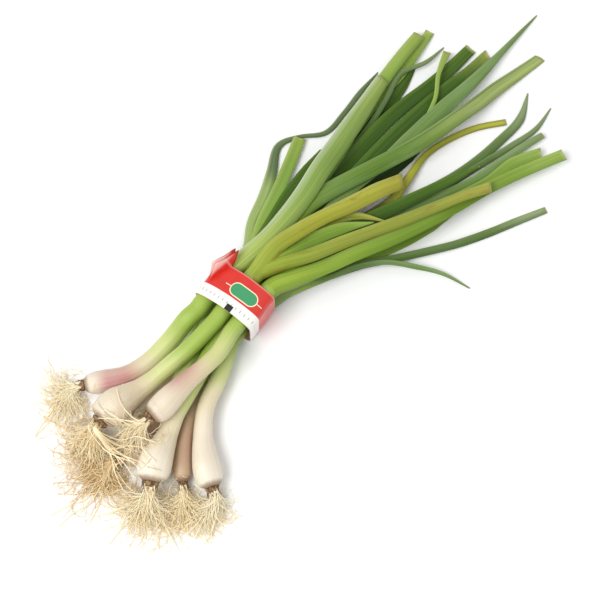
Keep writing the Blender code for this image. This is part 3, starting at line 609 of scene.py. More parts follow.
class Shader:  # a Principled material being wired up
    def __init__(self, name):
        self.material = bpy.data.materials.new(name)
        self.material.use_nodes = True
        self.tree = self.material.node_tree
        self.end = self.tree.nodes["Principled BSDF"]

    def node(self, kind, settings, *values, out=0, **named):  # settings first, then sockets by number or name
        made = self.tree.nodes.new(kind)
        for key, value in settings.items():
            setattr(made, key, value)
        for key, value in list(enumerate(values)) + list(named.items()):
            self.plug(made.inputs[key], value)
        return Wire(self, made.outputs[out])

    def plug(self, socket, value):  # a link from a wire, or a set value
        if isinstance(value, Wire):
            self.tree.links.new(value.socket, socket)
        elif isinstance(value, tuple) and len(value) == 3 and socket.type == "RGBA":
            socket.default_value = (*linear(value), 1.0)
        else:
            socket.default_value = value

    def field(self, name):  # a piece's own point field
        return self.node("ShaderNodeAttribute", dict(attribute_name=name), out="Fac")

    def place(self):
        return self.node("ShaderNodeTexCoord", {}, out="Object")

    def vector(self, x, y, z):
        return self.node("ShaderNodeCombineXYZ", {}, x, y, z)

    def noise(self, vector, scale, detail=3.0, rough=0.55):
        return self.node("ShaderNodeTexNoise", {}, Vector=vector, Scale=scale, Detail=detail, Roughness=rough)

    def mix(self, share, first, second, kind="MIX"):  # colours sit in sockets 6 and 7, and come out of 2
        made = self.tree.nodes.new("ShaderNodeMix")
        made.data_type = "RGBA"
        made.blend_type = kind
        for socket, value in ((0, share), (6, first), (7, second)):
            self.plug(made.inputs[socket], value)
        return Wire(self, made.outputs[2])

    def bump(self, height, distance, strength=1.0):
        return self.node("ShaderNodeBump", {}, Height=height, Distance=distance, Strength=strength)

    def finish(self, colour, rough, bump=None, **constants):  # into the Principled shader
        self.plug(self.end.inputs["Base Color"], colour)
        self.plug(self.end.inputs["Roughness"], rough)
        if bump is not None:
            self.plug(self.end.inputs["Normal"], bump)
        for key, value in constants.items():
            self.end.inputs[key.replace("_", " ")].default_value = value
        return self.material


# Stems. Lengths in the materials are in metres along the stem, and turns go once round it.

fullTurn, quarterTurn = 6.2832, 1.5708
stemLook = dict(rings=90, sides=36, white=(232, 222, 202), cream=(222, 210, 178), pale=(204, 214, 140),
                green=(158, 184, 76), shade=(96, 126, 30), blush=(184, 104, 116), tan=(186, 156, 124),
                rim=(120, 86, 52), streak=(190, 176, 130), whiteStart=0.012, whiteEnd=0.040, paleEnd=0.060,
                greenEnd=0.088, tanFade=(0.045, 0.085), uneven=0.022, shadeTurn=1.9, rimEnd=(0.0005, 0.004),
                lag=dict(h=22 * mm, b=-8 * mm, g=6 * mm),  # how much later these turn green
                blushAt=(5 * mm, 44 * mm), blushOn=dict(d=(16 * mm, 52 * mm)), blushIn=0.012, blushOut=0.018,
                lobes=0.02, ribs=0.008, sheath=(-25 * mm, -12 * mm), inSheath=0.45)


def stemMaterial(name, plant):  # white to green along the stem, with a blush and a shaded flank round it
    look = stemLook
    s = Shader("stem_" + name)
    run, turn = s.field("run"), s.field("turn")
    east, north = (turn * fullTurn + quarterTurn).sin(), (turn * fullTurn).sin()
    fibre = s.noise(s.vector(north * 14.0, east * 14.0, run * 9.0), 1.6, 4.0)
    patch = s.noise(s.vector(north * 5.0, east * 5.0, run * 12.0), 0.5, 2.0)
    edge = run + ((patch - 0.5) * look["uneven"] - look["lag"].get(name, 0.0))
    cream = edge.ramp(look["whiteStart"], look["whiteEnd"])
    colour = s.mix(cream, look["white"], look["cream"])
    colour = s.mix(edge.ramp(look["whiteEnd"], look["paleEnd"]), colour, look["pale"])
    colour = s.mix(edge.ramp(look["paleEnd"], look["greenEnd"]), colour, look["green"])
    colour = s.mix(plant["tan"] * (1.0 - edge.ramp(*look["tanFade"])), colour, look["tan"])
    flush = (turn * fullTurn + (quarterTurn - fullTurn * plant["flush"])).sin() * 0.5 + 0.5
    flush = flush.high(0.0001) ** (0.7 if plant["blush"] == 1 else 3.0)  # a full blush reaches further round
    first, last = look["blushOn"].get(name, look["blushAt"])
    flush = flush * run.ramp(first, first + look["blushIn"]) * (1.0 - run.ramp(last - look["blushOut"], last))
    flush = (flush * (0.25 + fibre) * plant["blush"]).low(0.8)
    colour = s.mix(flush, colour, look["blush"])
    flank = (turn * fullTurn + look["shadeTurn"]).sin().ramp(0.0, 1.0)
    flank = flank * edge.ramp(look["whiteEnd"], look["greenEnd"])
    colour = s.mix(flank * 0.50, colour, look["shade"])
    colour = s.mix(fibre.ramp(0.48, 0.75) * 0.20, colour, look["streak"], "MULTIPLY")
    rim = 1.0 - (run + (fibre - 0.5) * 0.004).ramp(*look["rimEnd"])
    colour = s.mix(rim * 0.8, colour, look["rim"])
    return s.finish(colour, 0.34 + fibre * 0.16, s.bump(fibre, 0.0004, 0.5),
                    Subsurface_Weight=0.12, Subsurface_Scale=0.004)


def stemPiece(name, plant, stem):  # radius follows the bulb's profile, a little lobed and ribbed round it
    look = stemLook
    rows = np.column_stack((stem.path, stem.height + stem.half))
    run = np.linspace(0, 1, look["rings"]) ** 1.25 * stem.run[-1]  # rings closer together on the bulb
    fine = curveThrough(np.column_stack((rows, stem.run)), 400)
    path = np.column_stack([np.interp(run, fine[:, 3], fine[:, k]) for k in range(3)])
    half = bulbRadius(run, plant["bulb"], plant["shank"], stem.run[-1])
    half = half * np.interp(run - stem.run[-1], look["sheath"], (1.0, look["inSheath"]))
    turn = np.linspace(0, 1, look["sides"], endpoint=False)
    lobes = look["lobes"] * np.sin(2 * np.pi * 3 * turn + len(name))
    ribs = look["ribs"] * np.sin(2 * np.pi * 11 * turn)
    rings = tubeRings(path, half[:, None] * (1 + lobes + ribs), look["sides"])
    rings[..., 2] = np.maximum(rings[..., 2], 0.0)
    fields = dict(run=run[:, None], turn=turn)
    piece = makeMesh("stem_" + name, [(rings, fields)])
    piece.data.materials.append(stemMaterial(name, plant))
    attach(piece, "root")
    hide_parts("stalk_" + name)


# Leaves

leafLook = dict(across=7, step=3.0 * mm, wave=0.5 * mm, waveLength=0.021, tuck=9 * mm, wrap=1.75,
                open=(3 * mm, 42 * mm), least=0.25 * mm, skin=0.3 * mm, thin=0.65, slim=1.2 * mm,
                bloom=(150, 176, 142), spot=(140, 96, 40), cut=(176, 172, 110), cutAt=0.988,
                slant=dict(amber=0.55, gold=0.3, wide=-0.3, main=0.3, middle=0.35, olive=0.3))
# Colours at the neck, the middle and the tip, then dark, the leaf's own darker veins and streaks and also
# painted shade on one flank and in a crease, and light, a painted highlight on the other flank and also the
# pale keel; then the shares of the pale keel and the bloom. fade is where the tip's colour comes in; crease
# is a pressed fold's place across the blade, and where along it the fold starts.
leafTones = {
    "pale": dict(base=(176, 192, 100), mid=(136, 162, 78), tip=(150, 168, 84), dark=(84, 112, 40),
                 light=(232, 238, 214), keel=0.0, bloom=0.08),
    "lime": dict(base=(172, 192, 80), mid=(134, 166, 62), tip=(150, 170, 76), dark=(98, 132, 42),
                 light=(190, 204, 130), keel=0.06, bloom=0.06),
    "fresh": dict(base=(152, 176, 60), mid=(118, 148, 46), tip=(148, 174, 80), dark=(84, 118, 32),
                  light=(166, 188, 92), keel=0.08, bloom=0.03),
    "deep": dict(base=(106, 136, 40), mid=(64, 98, 16), tip=(84, 116, 34), dark=(22, 46, 4),
                 light=(106, 136, 44), keel=0.06, bloom=0.0),
    "moss": dict(base=(106, 136, 40), mid=(64, 98, 18), tip=(156, 168, 80), dark=(22, 46, 4),
                 light=(108, 138, 52), keel=0.06, bloom=0.0, fade=(0.84, 1.02)),
    "shade": dict(base=(52, 80, 26), mid=(40, 66, 20), tip=(50, 78, 28), dark=(18, 36, 6),
                  light=(78, 106, 46), keel=0.0, bloom=0.0),
    "blue": dict(base=(118, 146, 54), mid=(84, 112, 48), tip=(140, 156, 110), dark=(40, 64, 24),
                 light=(144, 162, 104), keel=0.10, bloom=0.10),
    "gray": dict(base=(150, 174, 92), mid=(160, 182, 104), tip=(84, 102, 66), dark=(72, 96, 44),
                 light=(196, 208, 160), keel=0.08, bloom=0.10, fade=(0.34, 0.44)),
    "mist": dict(base=(142, 166, 80), mid=(110, 140, 70), tip=(124, 146, 88), dark=(68, 96, 40),
                 light=(154, 174, 116), keel=0.06, bloom=0.18),
    "jade": dict(base=(134, 158, 56), mid=(98, 130, 44), tip=(178, 192, 112), dark=(50, 82, 18),
                 light=(138, 162, 100), keel=0.04, bloom=0.14, crease=(0.42, 0.45), fade=(0.42, 0.95)),
    "gold": dict(base=(154, 174, 58), mid=(142, 152, 54), tip=(172, 172, 76), dark=(98, 106, 30),
                 light=(180, 184, 96), keel=0.06, bloom=0.02),
    # painted shade: this leaf is darkened in its middle, where it lies in shade, between a green neck and a
    # gold tip
    "rust": dict(base=(104, 124, 48), mid=(70, 74, 34), tip=(186, 188, 66), dark=(50, 46, 22),
                 light=(120, 116, 70), keel=0.0, bloom=0.0, fade=(0.44, 0.56)),
    "amber": dict(base=(158, 178, 64), mid=(166, 168, 52), tip=(186, 180, 62), dark=(116, 118, 34),
                  light=(204, 204, 124), keel=0.04, bloom=0.02),
}


def leafMaterial(name):  # veins run along the blade; the keel and the tip have their own tone, one flank has painted shade and the other a painted highlight
    look = leafTones[name]
    s = Shader("leaf_" + name)
    run, wide, share, over = s.field("run"), s.field("wide"), s.field("share"), s.field("over")
    seed = s.field("seed")
    # grain stretched along the blade, from fine to coarse
    vein = s.noise(s.vector(wide * 1600.0, run * 14.0, seed * 9.0), 1.0, 3.0, 0.6)
    streak = s.noise(s.vector(wide * 420.0, run * 9.0, seed * 5.0), 1.0, 2.0)
    patch = s.noise(s.vector(wide * 60.0, run * 22.0, seed * 7.0), 1.0, 3.0)
    colour = s.mix(share.ramp(0.0, 0.45), look["base"], look["mid"])
    colour = s.mix((share + (patch - 0.5) * 0.2).ramp(*look.get("fade", (0.72, 1.0))), colour,
                   look["tip"])
    colour = s.mix(streak.ramp(0.38, 0.72) * 0.35, colour, look["dark"])
    # painted shade: the flank where over is below zero is darkened; painted highlight: the other flank is
    # lightened
    colour = s.mix((0.0 - over).ramp(-0.1, 1.1) * 0.65, colour, look["dark"])
    colour = s.mix(over.ramp(0.0, 0.95) * 0.50, colour, look["light"])
    bloom = patch.ramp(0.42, 0.7) * look["bloom"] * share.ramp(0.1, 0.4)
    colour = s.mix(bloom, colour, leafLook["bloom"])
    colour = s.mix(vein.ramp(0.45, 0.65) * 0.20, colour, look["dark"])
    keel = 1.0 - wide.abs().ramp(0.0002, 0.0010)
    colour = s.mix(keel * look["keel"], colour, look["light"])
    # painted shade along the pressed fold of a creased leaf
    if "crease" in look:
        where, start = look["crease"]
        pressed = 1.0 - (over - where).abs().ramp(0.02, 0.10)
        colour = s.mix(pressed * share.ramp(start, start + 0.1) * 0.6, colour, look["dark"])
    if name in ("gold", "amber"):
        spots = s.noise(s.vector(wide * 260.0, run * 60.0, seed * 3.0), 1.0, 4.0, 0.7).ramp(0.56, 0.72)
        colour = s.mix(spots * 0.5, colour, leafLook["spot"])
    end = share.ramp(leafLook["cutAt"], 1.0)
    colour = s.mix(end * 0.7, colour, leafLook["cut"])
    return s.finish(colour, 0.40 + vein * 0.16, s.bump(vein * 0.6 + streak * 0.4, 0.0005, 0.45),
                    Specular_IOR_Level=0.28)


# A sheath round its stem blends into a folded or arched blade: each ring is its upper skin from edge to edge,
# then its lower skin back again.
def leafRings(strip, stem, plant, layer, count, slant):
    look = leafLook
    rows = np.column_stack((strip.path, strip.height, strip.half, strip.fold, strip.run))
    if layer == 0:
        first = rows[0].copy()
        first[:2] = inTie(plant, look["tuck"])
        first[2] = np.interp(first[0], stem.path[:, 0], stem.height + stem.half) - leafThick / 2
        first[5] = look["tuck"] - neckStart
        rows = np.vstack((first, rows))
    fine = curveThrough(rows, count * 6)
    run = np.linspace(rows[0, 5], rows[-1, 5], count)
    path = np.column_stack([np.interp(run, fine[:, 5], fine[:, k]) for k in (0, 1)])
    height = np.maximum(np.interp(run, fine[:, 5], fine[:, 2]), 0)[:, None]
    half, fold = [np.interp(run, rows[:, 5], rows[:, k])[:, None] for k in (3, 4)]
    half = np.maximum(half, look["least"])
    run = run[:, None]
    along = np.gradient(path, axis=0)
    along /= np.linalg.norm(along, axis=1)[:, None]
    side = np.column_stack((-along[:, 1], along[:, 0]))
    spread = np.linspace(-1, 1, 2 * look["across"] + 1)
    across = np.sin(spread * np.pi / 2)
    lift = np.where(fold > 0, fold * (np.sqrt(across ** 2 + 0.03) - 0.17), -fold * (1 - across ** 2) * 0.95)
    ripple = np.sin(run / look["waveLength"] + 40 * strip.fold[-1] + across * 2)
    wave = look["wave"] * ripple * np.abs(across) ** 2
    under = height + half * lift + np.maximum(wave * (half > 3 * mm), -0.2 * mm)
    thick = leafThick * (1 - look["thin"] * np.abs(across) ** 4) * np.minimum(1, half / look["slim"])
    low, high = look["open"]
    t = np.clip((run - low) / (high - low), 0, 1)
    wrapped = 1 - t * t * (3 - 2 * t)
    angle = spread * look["wrap"]
    radius = (plant["shank"] + 0.4 - 0.5 * layer) * mm
    axis = height + leafThick / 2 + nest * layer
    skins = []
    for grow, rise in ((look["skin"], thick), (-look["skin"], 0)):
        x = wrapped * (radius + grow) * np.sin(angle) + (1 - wrapped) * half * across
        z = wrapped * (axis + (radius + grow) * np.cos(angle)) + (1 - wrapped) * (under + rise)
        ahead = x * slant * np.clip(run / strip.run[-1] * 6 - 5, 0, 1)  # a slanted cut, over the last sixth
        xy = path[:, None] + side[:, None] * x[..., None] + along[:, None] * ahead[..., None]
        skins.append(np.dstack((xy, z)))
    rings = np.concatenate((skins[0], skins[1][:, ::-1][:, 1:-1]), axis=1)
    rings[..., 2] = np.maximum(rings[..., 2], 0.0)
    wide = wrapped * radius * angle + (1 - wrapped) * half * across
    there = np.concatenate((np.arange(len(spread)), np.arange(len(spread))[::-1][1:-1]))
    share = np.maximum(run, 0) / strip.run[-1]
    return rings, dict(run=run, wide=wide[:, there], over=spread[there], share=share)


def leafPiece(name, leafName, strip, stem, layer, look, seed):  # one leaf, in rings a step apart
    count = max(24, round(strip.run[-1] / leafLook["step"]))
    rings, fields = leafRings(strip, stem, plants[name], layer, count, leafLook["slant"].get(leafName, 0.0))
    fields["seed"] = seed
    piece = makeMesh("leaf_" + name + "_" + leafName, [(rings, fields)])
    piece.data.materials.append(leafMaterials[look])
    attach(piece, "root")
    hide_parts("stalk_" + name)


leafMaterials = {name: leafMaterial(name) for name in leafTones}
for count, (name, (stem, leaves)) in enumerate(laid.items()):
    stemPiece(name, plants[name], stem)
    for number, (leafName, strip) in enumerate(leaves.items()):
        layer, look = len(leaves) - 1 - number, plants[name]["leaves"][leafName][3]
        leafPiece(name, leafName, strip, stem, layer, look, count + 0.1 * number)
print("stems and leaves")


# Roots

rootLook = dict(fine=230, tries=4, sides=4, step=3.0 * mm, length=(0.3, 0.95), radius=(0.15, 0.34), tip=0.45,
                spread=1.15, bow=0.20, wander=0.30, bend=0.36, kink=0.22,  # how its walk turns
                loft=7 * mm, climb=12 * mm, climbShare=0.85,  # most that would climb higher are left out
                cream=(255, 247, 218), tan=(244, 216, 158), brown=(194, 150, 90), speck=(180, 144, 96),
                # painted shade: roots darker the nearer they lie to the table, and per plant the tufts of b
                # and f, deep in the clump, darker and those of a and h, at its edges, paler
                low=9 * mm, lowShade=0.35, dark=dict(b=0.30, f=0.40, a=-0.25, h=-0.25),
                hairs=1, hair=(4, 11), hairRadius=0.13 * mm, hairBend=1.5, past=1.5 * mm, stout=0.6)
plateLook = dict(dark=(70, 46, 30), light=(176, 140, 96), sides=28, stubs=26, stub=(2.0, 5.0))


def rootMaterial():  # each root has a tint from cream to brown, part its own and part painted shade, all of them speckled
    s = Shader("root_fibre")
    tint = s.field("tint")
    speck = s.noise(s.place(), 900.0, 3.0)
    colour = s.mix(tint, rootLook["cream"], rootLook["tan"])
    colour = s.mix(tint.ramp(0.75, 1.0) * 0.6, colour, rootLook["brown"])
    colour = s.mix(speck.ramp(0.5, 0.75) * 0.25, colour, rootLook["speck"])
    return s.finish(colour, 0.7, s.bump(speck, 0.0002, 0.4))


def plateMaterial():  # bark, dark in its hollows
    s = Shader("root_plate")
    lump = s.noise(s.place(), 420.0, 5.0, 0.7)
    colour = s.mix(lump.ramp(0.35, 0.65), plateLook["dark"], plateLook["light"])
    return s.finish(colour, 0.85, s.bump(lump, 0.0012, 0.9))


def inBox(points):  # whether these stay over the solids' box, a little past its sides
    low, high = [np.array(corner)[:2] for corner in cadBox]
    framed, past = inFrame(points)[:, :2], rootLook["past"]
    return (framed > low - past).all() and (framed < high + past).all()


# Thin roots: each is a wandering walk from the plate that turns towards its aim, falls to whatever is below,
# and has a hair or so lying on the table beside it.
def fineRoots(name, stem, ground, rng):
    look = rootLook
    du, dv, spread, _, length = plants[name]["roots"]
    away = stem.path[0] - stem.path[1]
    away = away / np.hypot(*away)
    back = math.atan2(away[1], away[0])
    aim = heading(du, dv)
    centre = stem.height[0] + stem.half[0]
    middle = stem.path[0] + away * (plateGap + plateDepth * 0.6)
    square = np.array((-away[1], away[0]))
    parts, made, step = [], 0, look["step"]
    for _ in range(look["fine"] * look["tries"]):
        if made >= look["fine"]:
            break
        angle = aim + math.radians(spread) * look["spread"] * rng.uniform(-1, 1)
        steps = int(length * mm * rng.uniform(*look["length"]) / step)
        curl = np.cumsum(rng.normal(0, look["wander"], steps)) + rng.uniform(-look["bow"], look["bow"])
        blend = np.minimum(1, np.arange(steps) / rng.uniform(2, 7))
        turns = back + blend * math.remainder(angle - back, 2 * math.pi) + np.cumsum(curl) * look["bend"]
        turns += rng.normal(0, look["kink"], steps) * blend
        start = middle + square * stem.half[0] * 0.6 * rng.uniform(-1, 1)
        legs = np.column_stack((np.cos(turns), np.sin(turns))) * step
        path = start + np.vstack((np.zeros((1, 2)), np.cumsum(legs, axis=0)))
        floor = ground.under(path)
        first = centre + rng.uniform(-0.6, 0.6) * stem.half[0]
        if floor[1:6].max() > first + 1 * mm:
            continue
        if floor[4:].max() > look["climb"] and rng.uniform() < look["climbShare"]:
            continue
        reach = first * rng.uniform(0.7, 1.8) + 4 * mm
        fall = first * np.maximum(0, 1 - np.arange(steps + 1) * step / reach) ** 1.4
        loft = rng.uniform(0, look["loft"]) * np.sin(np.linspace(0, np.pi, steps + 1)) ** 2
        height = np.maximum(fall + loft, floor + 0.4 * mm)
        for _ in range(3):
            height[1:-1] = np.maximum((height[:-2] + 2 * height[1:-1] + height[2:]) / 4, floor[1:-1] * 0.9)
        points = curveThrough(np.column_stack((path, height + 0.3 * mm)), steps * 2)
        if not inBox(points):
            continue
        radius = rng.uniform(*look["radius"]) * mm * np.linspace(1, look["tip"], len(points))
        rings = tubeRings(points, radius, look["sides"])
        made += 1
        deep = 1 - np.clip(points[:, 2:] / look["low"], 0, 1)  # painted shade, darker near the table
        # painted shade for each plant's tuft, darker deep in the clump
        deep = look["lowShade"] * deep + look["dark"].get(name, 0.0)
        parts.append((rings, dict(tint=np.clip(rng.uniform(0, 0.6) + deep, 0, 1))))
        for _ in range(look["hairs"]):
            at = rng.integers(2, len(points) - 3)
            turn = rng.uniform(0, 2 * np.pi)
            reach = rng.uniform(*look["hair"]) * mm
            t = np.linspace(0, 1, 6)
            bend = turn + t * rng.uniform(-look["hairBend"], look["hairBend"])
            walk = np.cumsum(np.column_stack((np.cos(bend), np.sin(bend))) * reach / 6, axis=0)
            walk += points[at, :2]
            hair = np.column_stack((walk, np.maximum(points[at, 2] * (1 - 0.7 * t), 0.2 * mm)))
            if ground.under(walk).max() == 0 and inBox(hair):
                parts.append((tubeRings(hair, look["hairRadius"], 3), dict(tint=rng.uniform(0, 0.6))))
    return parts


def stoutRoots(roots, ground):  # the solids' roots as thinner round tubes, no lower than what is below
    parts, share = [], rootLook["stout"]
    for number, strip in enumerate(roots):
        rows = np.column_stack((strip.path, strip.height + strip.half, strip.half))
        fine = curveThrough(rows, len(rows) * 6)
        rest = ground.under(fine[:, :2]) + fine[:, 3] * share + 0.1 * mm
        fine[10:, 2] = np.maximum(fine[10:, 2], rest[10:])
        rings = tubeRings(fine[:, :3], fine[:, 3] * share, 6)
        parts.append((rings, dict(tint=(number * 0.37) % 0.8)))
    return parts


def plateParts(stem, rng):  # a woody disc, ragged with the stubs of dead roots
    plate = basePlate(stem)
    ends = np.column_stack((plate.path, plate.height + plate.half))
    t = np.linspace(0, 1, 7)
    path = ends[0] + (ends[1] - ends[0]) * t[:, None]
    turn = np.linspace(0, 2 * np.pi, plateLook["sides"], endpoint=False)
    ragged = 1 + 0.07 * np.sin(5 * turn + 3 * t[:, None]) + 0.05 * np.sin(11 * turn)
    radius = plate.half[0] * (1.02 - 0.38 * t[:, None] ** 2) * ragged
    parts = [(tubeRings(path, radius, plateLook["sides"]), dict(tint=0.5))]
    along = (ends[1] - ends[0]) / np.linalg.norm(ends[1] - ends[0])
    side = np.array((-along[1], along[0], 0.0))
    for _ in range(plateLook["stubs"]):
        turn = rng.uniform(0, 2 * np.pi)
        out = rng.uniform(0.35, 0.95) * plate.half[0]
        foot = ends[0] + along * plateDepth * 0.5 + side * out * math.cos(turn)
        foot = foot + np.array((0, 0, out * math.sin(turn)))
        lean = along + side * rng.uniform(-0.7, 0.7) + np.array((0, 0, rng.uniform(-0.7, 0.5)))
        tip = foot + lean * rng.uniform(*plateLook["stub"]) * mm
        tip[2] = max(tip[2], 0.4 * mm)
        stub = foot + (tip - foot) * np.linspace(0, 1, 5)[:, None]
        parts.append((tubeRings(stub, np.linspace(0.55, 0.15, 5) * mm, 5), dict(tint=0.9)))
    return parts


rootSkin, plateSkin = rootMaterial(), plateMaterial()
rng = np.random.default_rng(rootRule["seed"])
rooted = {}
for name, (stem, _) in laid.items():
    rooted[name] = layRoots(plants[name], stem, clearOfOthers(name, rooted), rng)
ground = Pile()
for stem, _ in laid.values():
    stem.stamp(ground)
fineRng = np.random.default_rng(5)
for name, (stem, _) in laid.items():
    threads = stoutRoots(rooted[name], ground) + fineRoots(name, stem, ground, fineRng)
    plate = makeMesh("plate_" + name, plateParts(stem, fineRng))
    plate.data.materials.append(plateSkin)
    pieces = [plate]
    if threads:
        pieces.append(makeMesh("tuft_" + name, threads))
        pieces[-1].data.materials.append(rootSkin)
    print(name, "roots", len(threads))
    for piece in pieces:
        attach(piece, "root")
        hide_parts("roots_" + name)
print("roots")


# Ribbon

bandLook = dict(sides=150, edge=0.25 * mm, slack=0.12 * mm, red=(214, 46, 34), deep=(150, 26, 22),
                white=(240, 238, 232), bar=(58, 150, 96), cream=(246, 232, 200), back=(232, 186, 176),
                ink=(70, 70, 74), black=(24, 24, 26), whiteShare=0.34, bulge=34, rounder=0.6,
                period=70 * mm, barReach=5.6 * mm, barRadius=4.4 * mm, barAt=34.5 * mm, barLow=2.6 * mm,
                line=15 * mm, lineEdge=(0.22 * mm, 0.38 * mm), pale=(0.3 * mm, 1.2 * mm),
                blockAt=32 * mm, blockIn=2.0 * mm, blockEdge=(2.4 * mm, 2.6 * mm),
                tick=4.6 * mm, tickStep=1.8 * mm,
                tickEdge=(0.18 * mm, 0.30 * mm), tickEnd=(0.9 * mm, 1.1 * mm),
                tabShort=0.92, tabSkew=-0.40, tabRise=0.08, fade=0.70, fadeSlant=0.35)


# Hugs every stem in the tie, as the CAD's does: the furthest stem's reach in each direction, then the corners
# where neighbouring tangent lines meet. On top, where stiff paper is rounder, the reach is blended with the
# mean of its neighbours.
def bandOutline(sides):
    angles = np.linspace(0, 2 * math.pi, sides, endpoint=False)
    normals = np.column_stack((np.cos(angles), np.sin(angles)))
    square = tiePlace(0, 1)
    reach = np.full(sides, -1.0)
    for stem, _ in laid.values():
        for xy, half, height in zip(stem.path, stem.half, stem.height):
            if np.hypot(*xy) <= 1.5 * tieReach:
                reach = np.maximum(reach, normals @ (xy @ square, height + half) + half)
    reach = reach + band["clear"]
    middle = np.array((reach[0] - reach[sides // 2], reach[sides // 4] - reach[3 * sides // 4])) / 2
    about = reach - normals @ middle
    near = round(bandLook["bulge"] * sides / 360)
    even = np.mean([np.roll(about, k) for k in range(-near, near + 1)], axis=0)
    even = np.maximum(about, even)
    upper = np.clip(1.6 * np.sin(angles) - 0.6, 0, 1) * bandLook["rounder"]
    reach = about + (even - about) * upper + normals @ middle
    after = np.roll(normals, -1, axis=0)
    far = np.roll(reach, -1)
    det = normals[:, 0] * after[:, 1] - normals[:, 1] * after[:, 0]
    y = (reach * after[:, 1] - far * normals[:, 1]) / det
    z = (normals[:, 0] * far - after[:, 0] * reach) / det
    return np.column_stack((y, z))


pingPong = dict(operation="PINGPONG")  # up and down again: the distance from the nearest repeat


def ribbonMaterial():  # red strip with plain rounded bars, pale strip towards the bulbs with ruled ticks
    look = bandLook
    s = Shader("ribbon_print")
    along, around, inner = s.field("along"), s.field("round"), s.field("inner")
    width = band["width"]
    crease = s.noise(s.vector(along * 160.0, around * 90.0, 0.0), 1.0, 4.0)
    border = -width / 2 + width * look["whiteShare"]
    pale = 1.0 - along.ramp(border - 0.15 * mm, border + 0.15 * mm)
    colour = s.mix(crease.ramp(0.35, 0.75) * 0.25, look["red"], look["deep"])
    middle = along - (border + width * (1 - look["whiteShare"]) / 2 - look["barLow"])
    period, reach, radius = look["period"], look["barReach"], look["barRadius"]
    phase = s.node("ShaderNodeMath", pingPong, around + (period - look["barAt"]), period / 2)
    past = (phase - reach).high(0.0)
    far = (past * past + middle * middle) ** 0.5  # from the bar's spine, which makes its ends round
    line = 1.0 - middle.abs().ramp(*look["lineEdge"])
    line = line * phase.over(reach) * (1.0 - phase.over(look["line"]))
    colour = s.mix(line, colour, look["cream"])
    colour = s.mix(1.0 - far.ramp(radius + 0.6 * mm, radius + 0.8 * mm), colour, look["cream"])
    colour = s.mix(1.0 - far.ramp(radius - 0.1 * mm, radius + 0.1 * mm), colour, look["bar"])
    edge = (along - width / 2).abs().ramp(*look["pale"])
    colour = s.mix((1.0 - edge) * 0.4, colour, look["back"])
    rule = s.node("ShaderNodeMath", pingPong, around, look["tickStep"])
    tick = (along + (width / 2 - look["tick"])).abs().ramp(*look["tickEnd"])
    tick = (1.0 - rule.ramp(*look["tickEdge"])) * (1.0 - tick)
    dash = s.node("ShaderNodeMath", pingPong, around + (period - look["blockAt"]), period / 2)
    dash = 1.0 - dash.ramp(*look["blockEdge"])
    strip = s.mix(tick * 0.75, look["white"], look["ink"])
    block = dash * (1.0 - (along + (width / 2 - look["blockIn"])).abs().ramp(*look["blockEdge"]))
    strip = s.mix(block, strip, look["black"])
    colour = s.mix(pale, colour, strip)
    colour = s.mix(inner, colour, look["back"])
    return s.finish(colour, 0.28 + crease * 0.14, s.bump(crease, 0.0006, 0.35), Coat_Weight=0.25)


def turned(x, y, z):  # from the tie's own axes to the bunch's, as rows of points
    cosine, sine = math.cos(tieTurn), math.sin(tieTurn)
    return np.dstack((x * cosine - y * sine, x * sine + y * cosine, z))


def ribbonLoop():  # a flat section carried round the outline, a little uneven along its edges
    look = bandLook
    outline = bandOutline(look["sides"])
    step = np.hypot(*(np.roll(outline, -1, axis=0) - outline).T)
    around = np.concatenate(([0], np.cumsum(step)[:-1]))
    middle = outline.mean(axis=0)
    tangent = np.roll(outline, -1, axis=0) - np.roll(outline, 1, axis=0)
    tangent /= np.linalg.norm(tangent, axis=1)[:, None] + 1e-12
    normal = np.column_stack((tangent[:, 1], -tangent[:, 0]))
    across = np.linspace(-1, 1, 9)
    depth = np.concatenate((np.full(9, 1.0), np.full(9, 0.0)))
    along = np.concatenate((across, across[::-1])) * band["width"] / 2
    slack = look["slack"] * np.sin(around[:, None] / 0.006 + along / 0.004)
    out = depth * band["thick"] * 0.85 + slack * (outline[:, 1:] > 2 * mm)
    yz = outline[:, None] + normal[:, None] * out[..., None]
    x = along + look["edge"] * np.sin(around[:, None] / 0.011) * np.abs(along) / (band["width"] / 2)
    rings = turned(x, yz[..., 0], np.maximum(yz[..., 1], 0.05 * mm))
    rows, cols = rings.shape[:2]
    r, c = np.arange(rows)[:, None], np.arange(cols)
    after, n = (r + 1) % rows, (c + 1) % cols
    faces = np.stack((r * cols + c, r * cols + n, after * cols + n, after * cols + c), -1).reshape(-1, 4)
    fields = dict(along=along, round=around[:, None], inner=1 - depth)
    fields = {key: np.broadcast_to(value, (rows, cols)).ravel() for key, value in fields.items()}
    return addPiece("ribbon", inFrame(rings.reshape(-1, 3)), faces.tolist(), fields), outline, middle


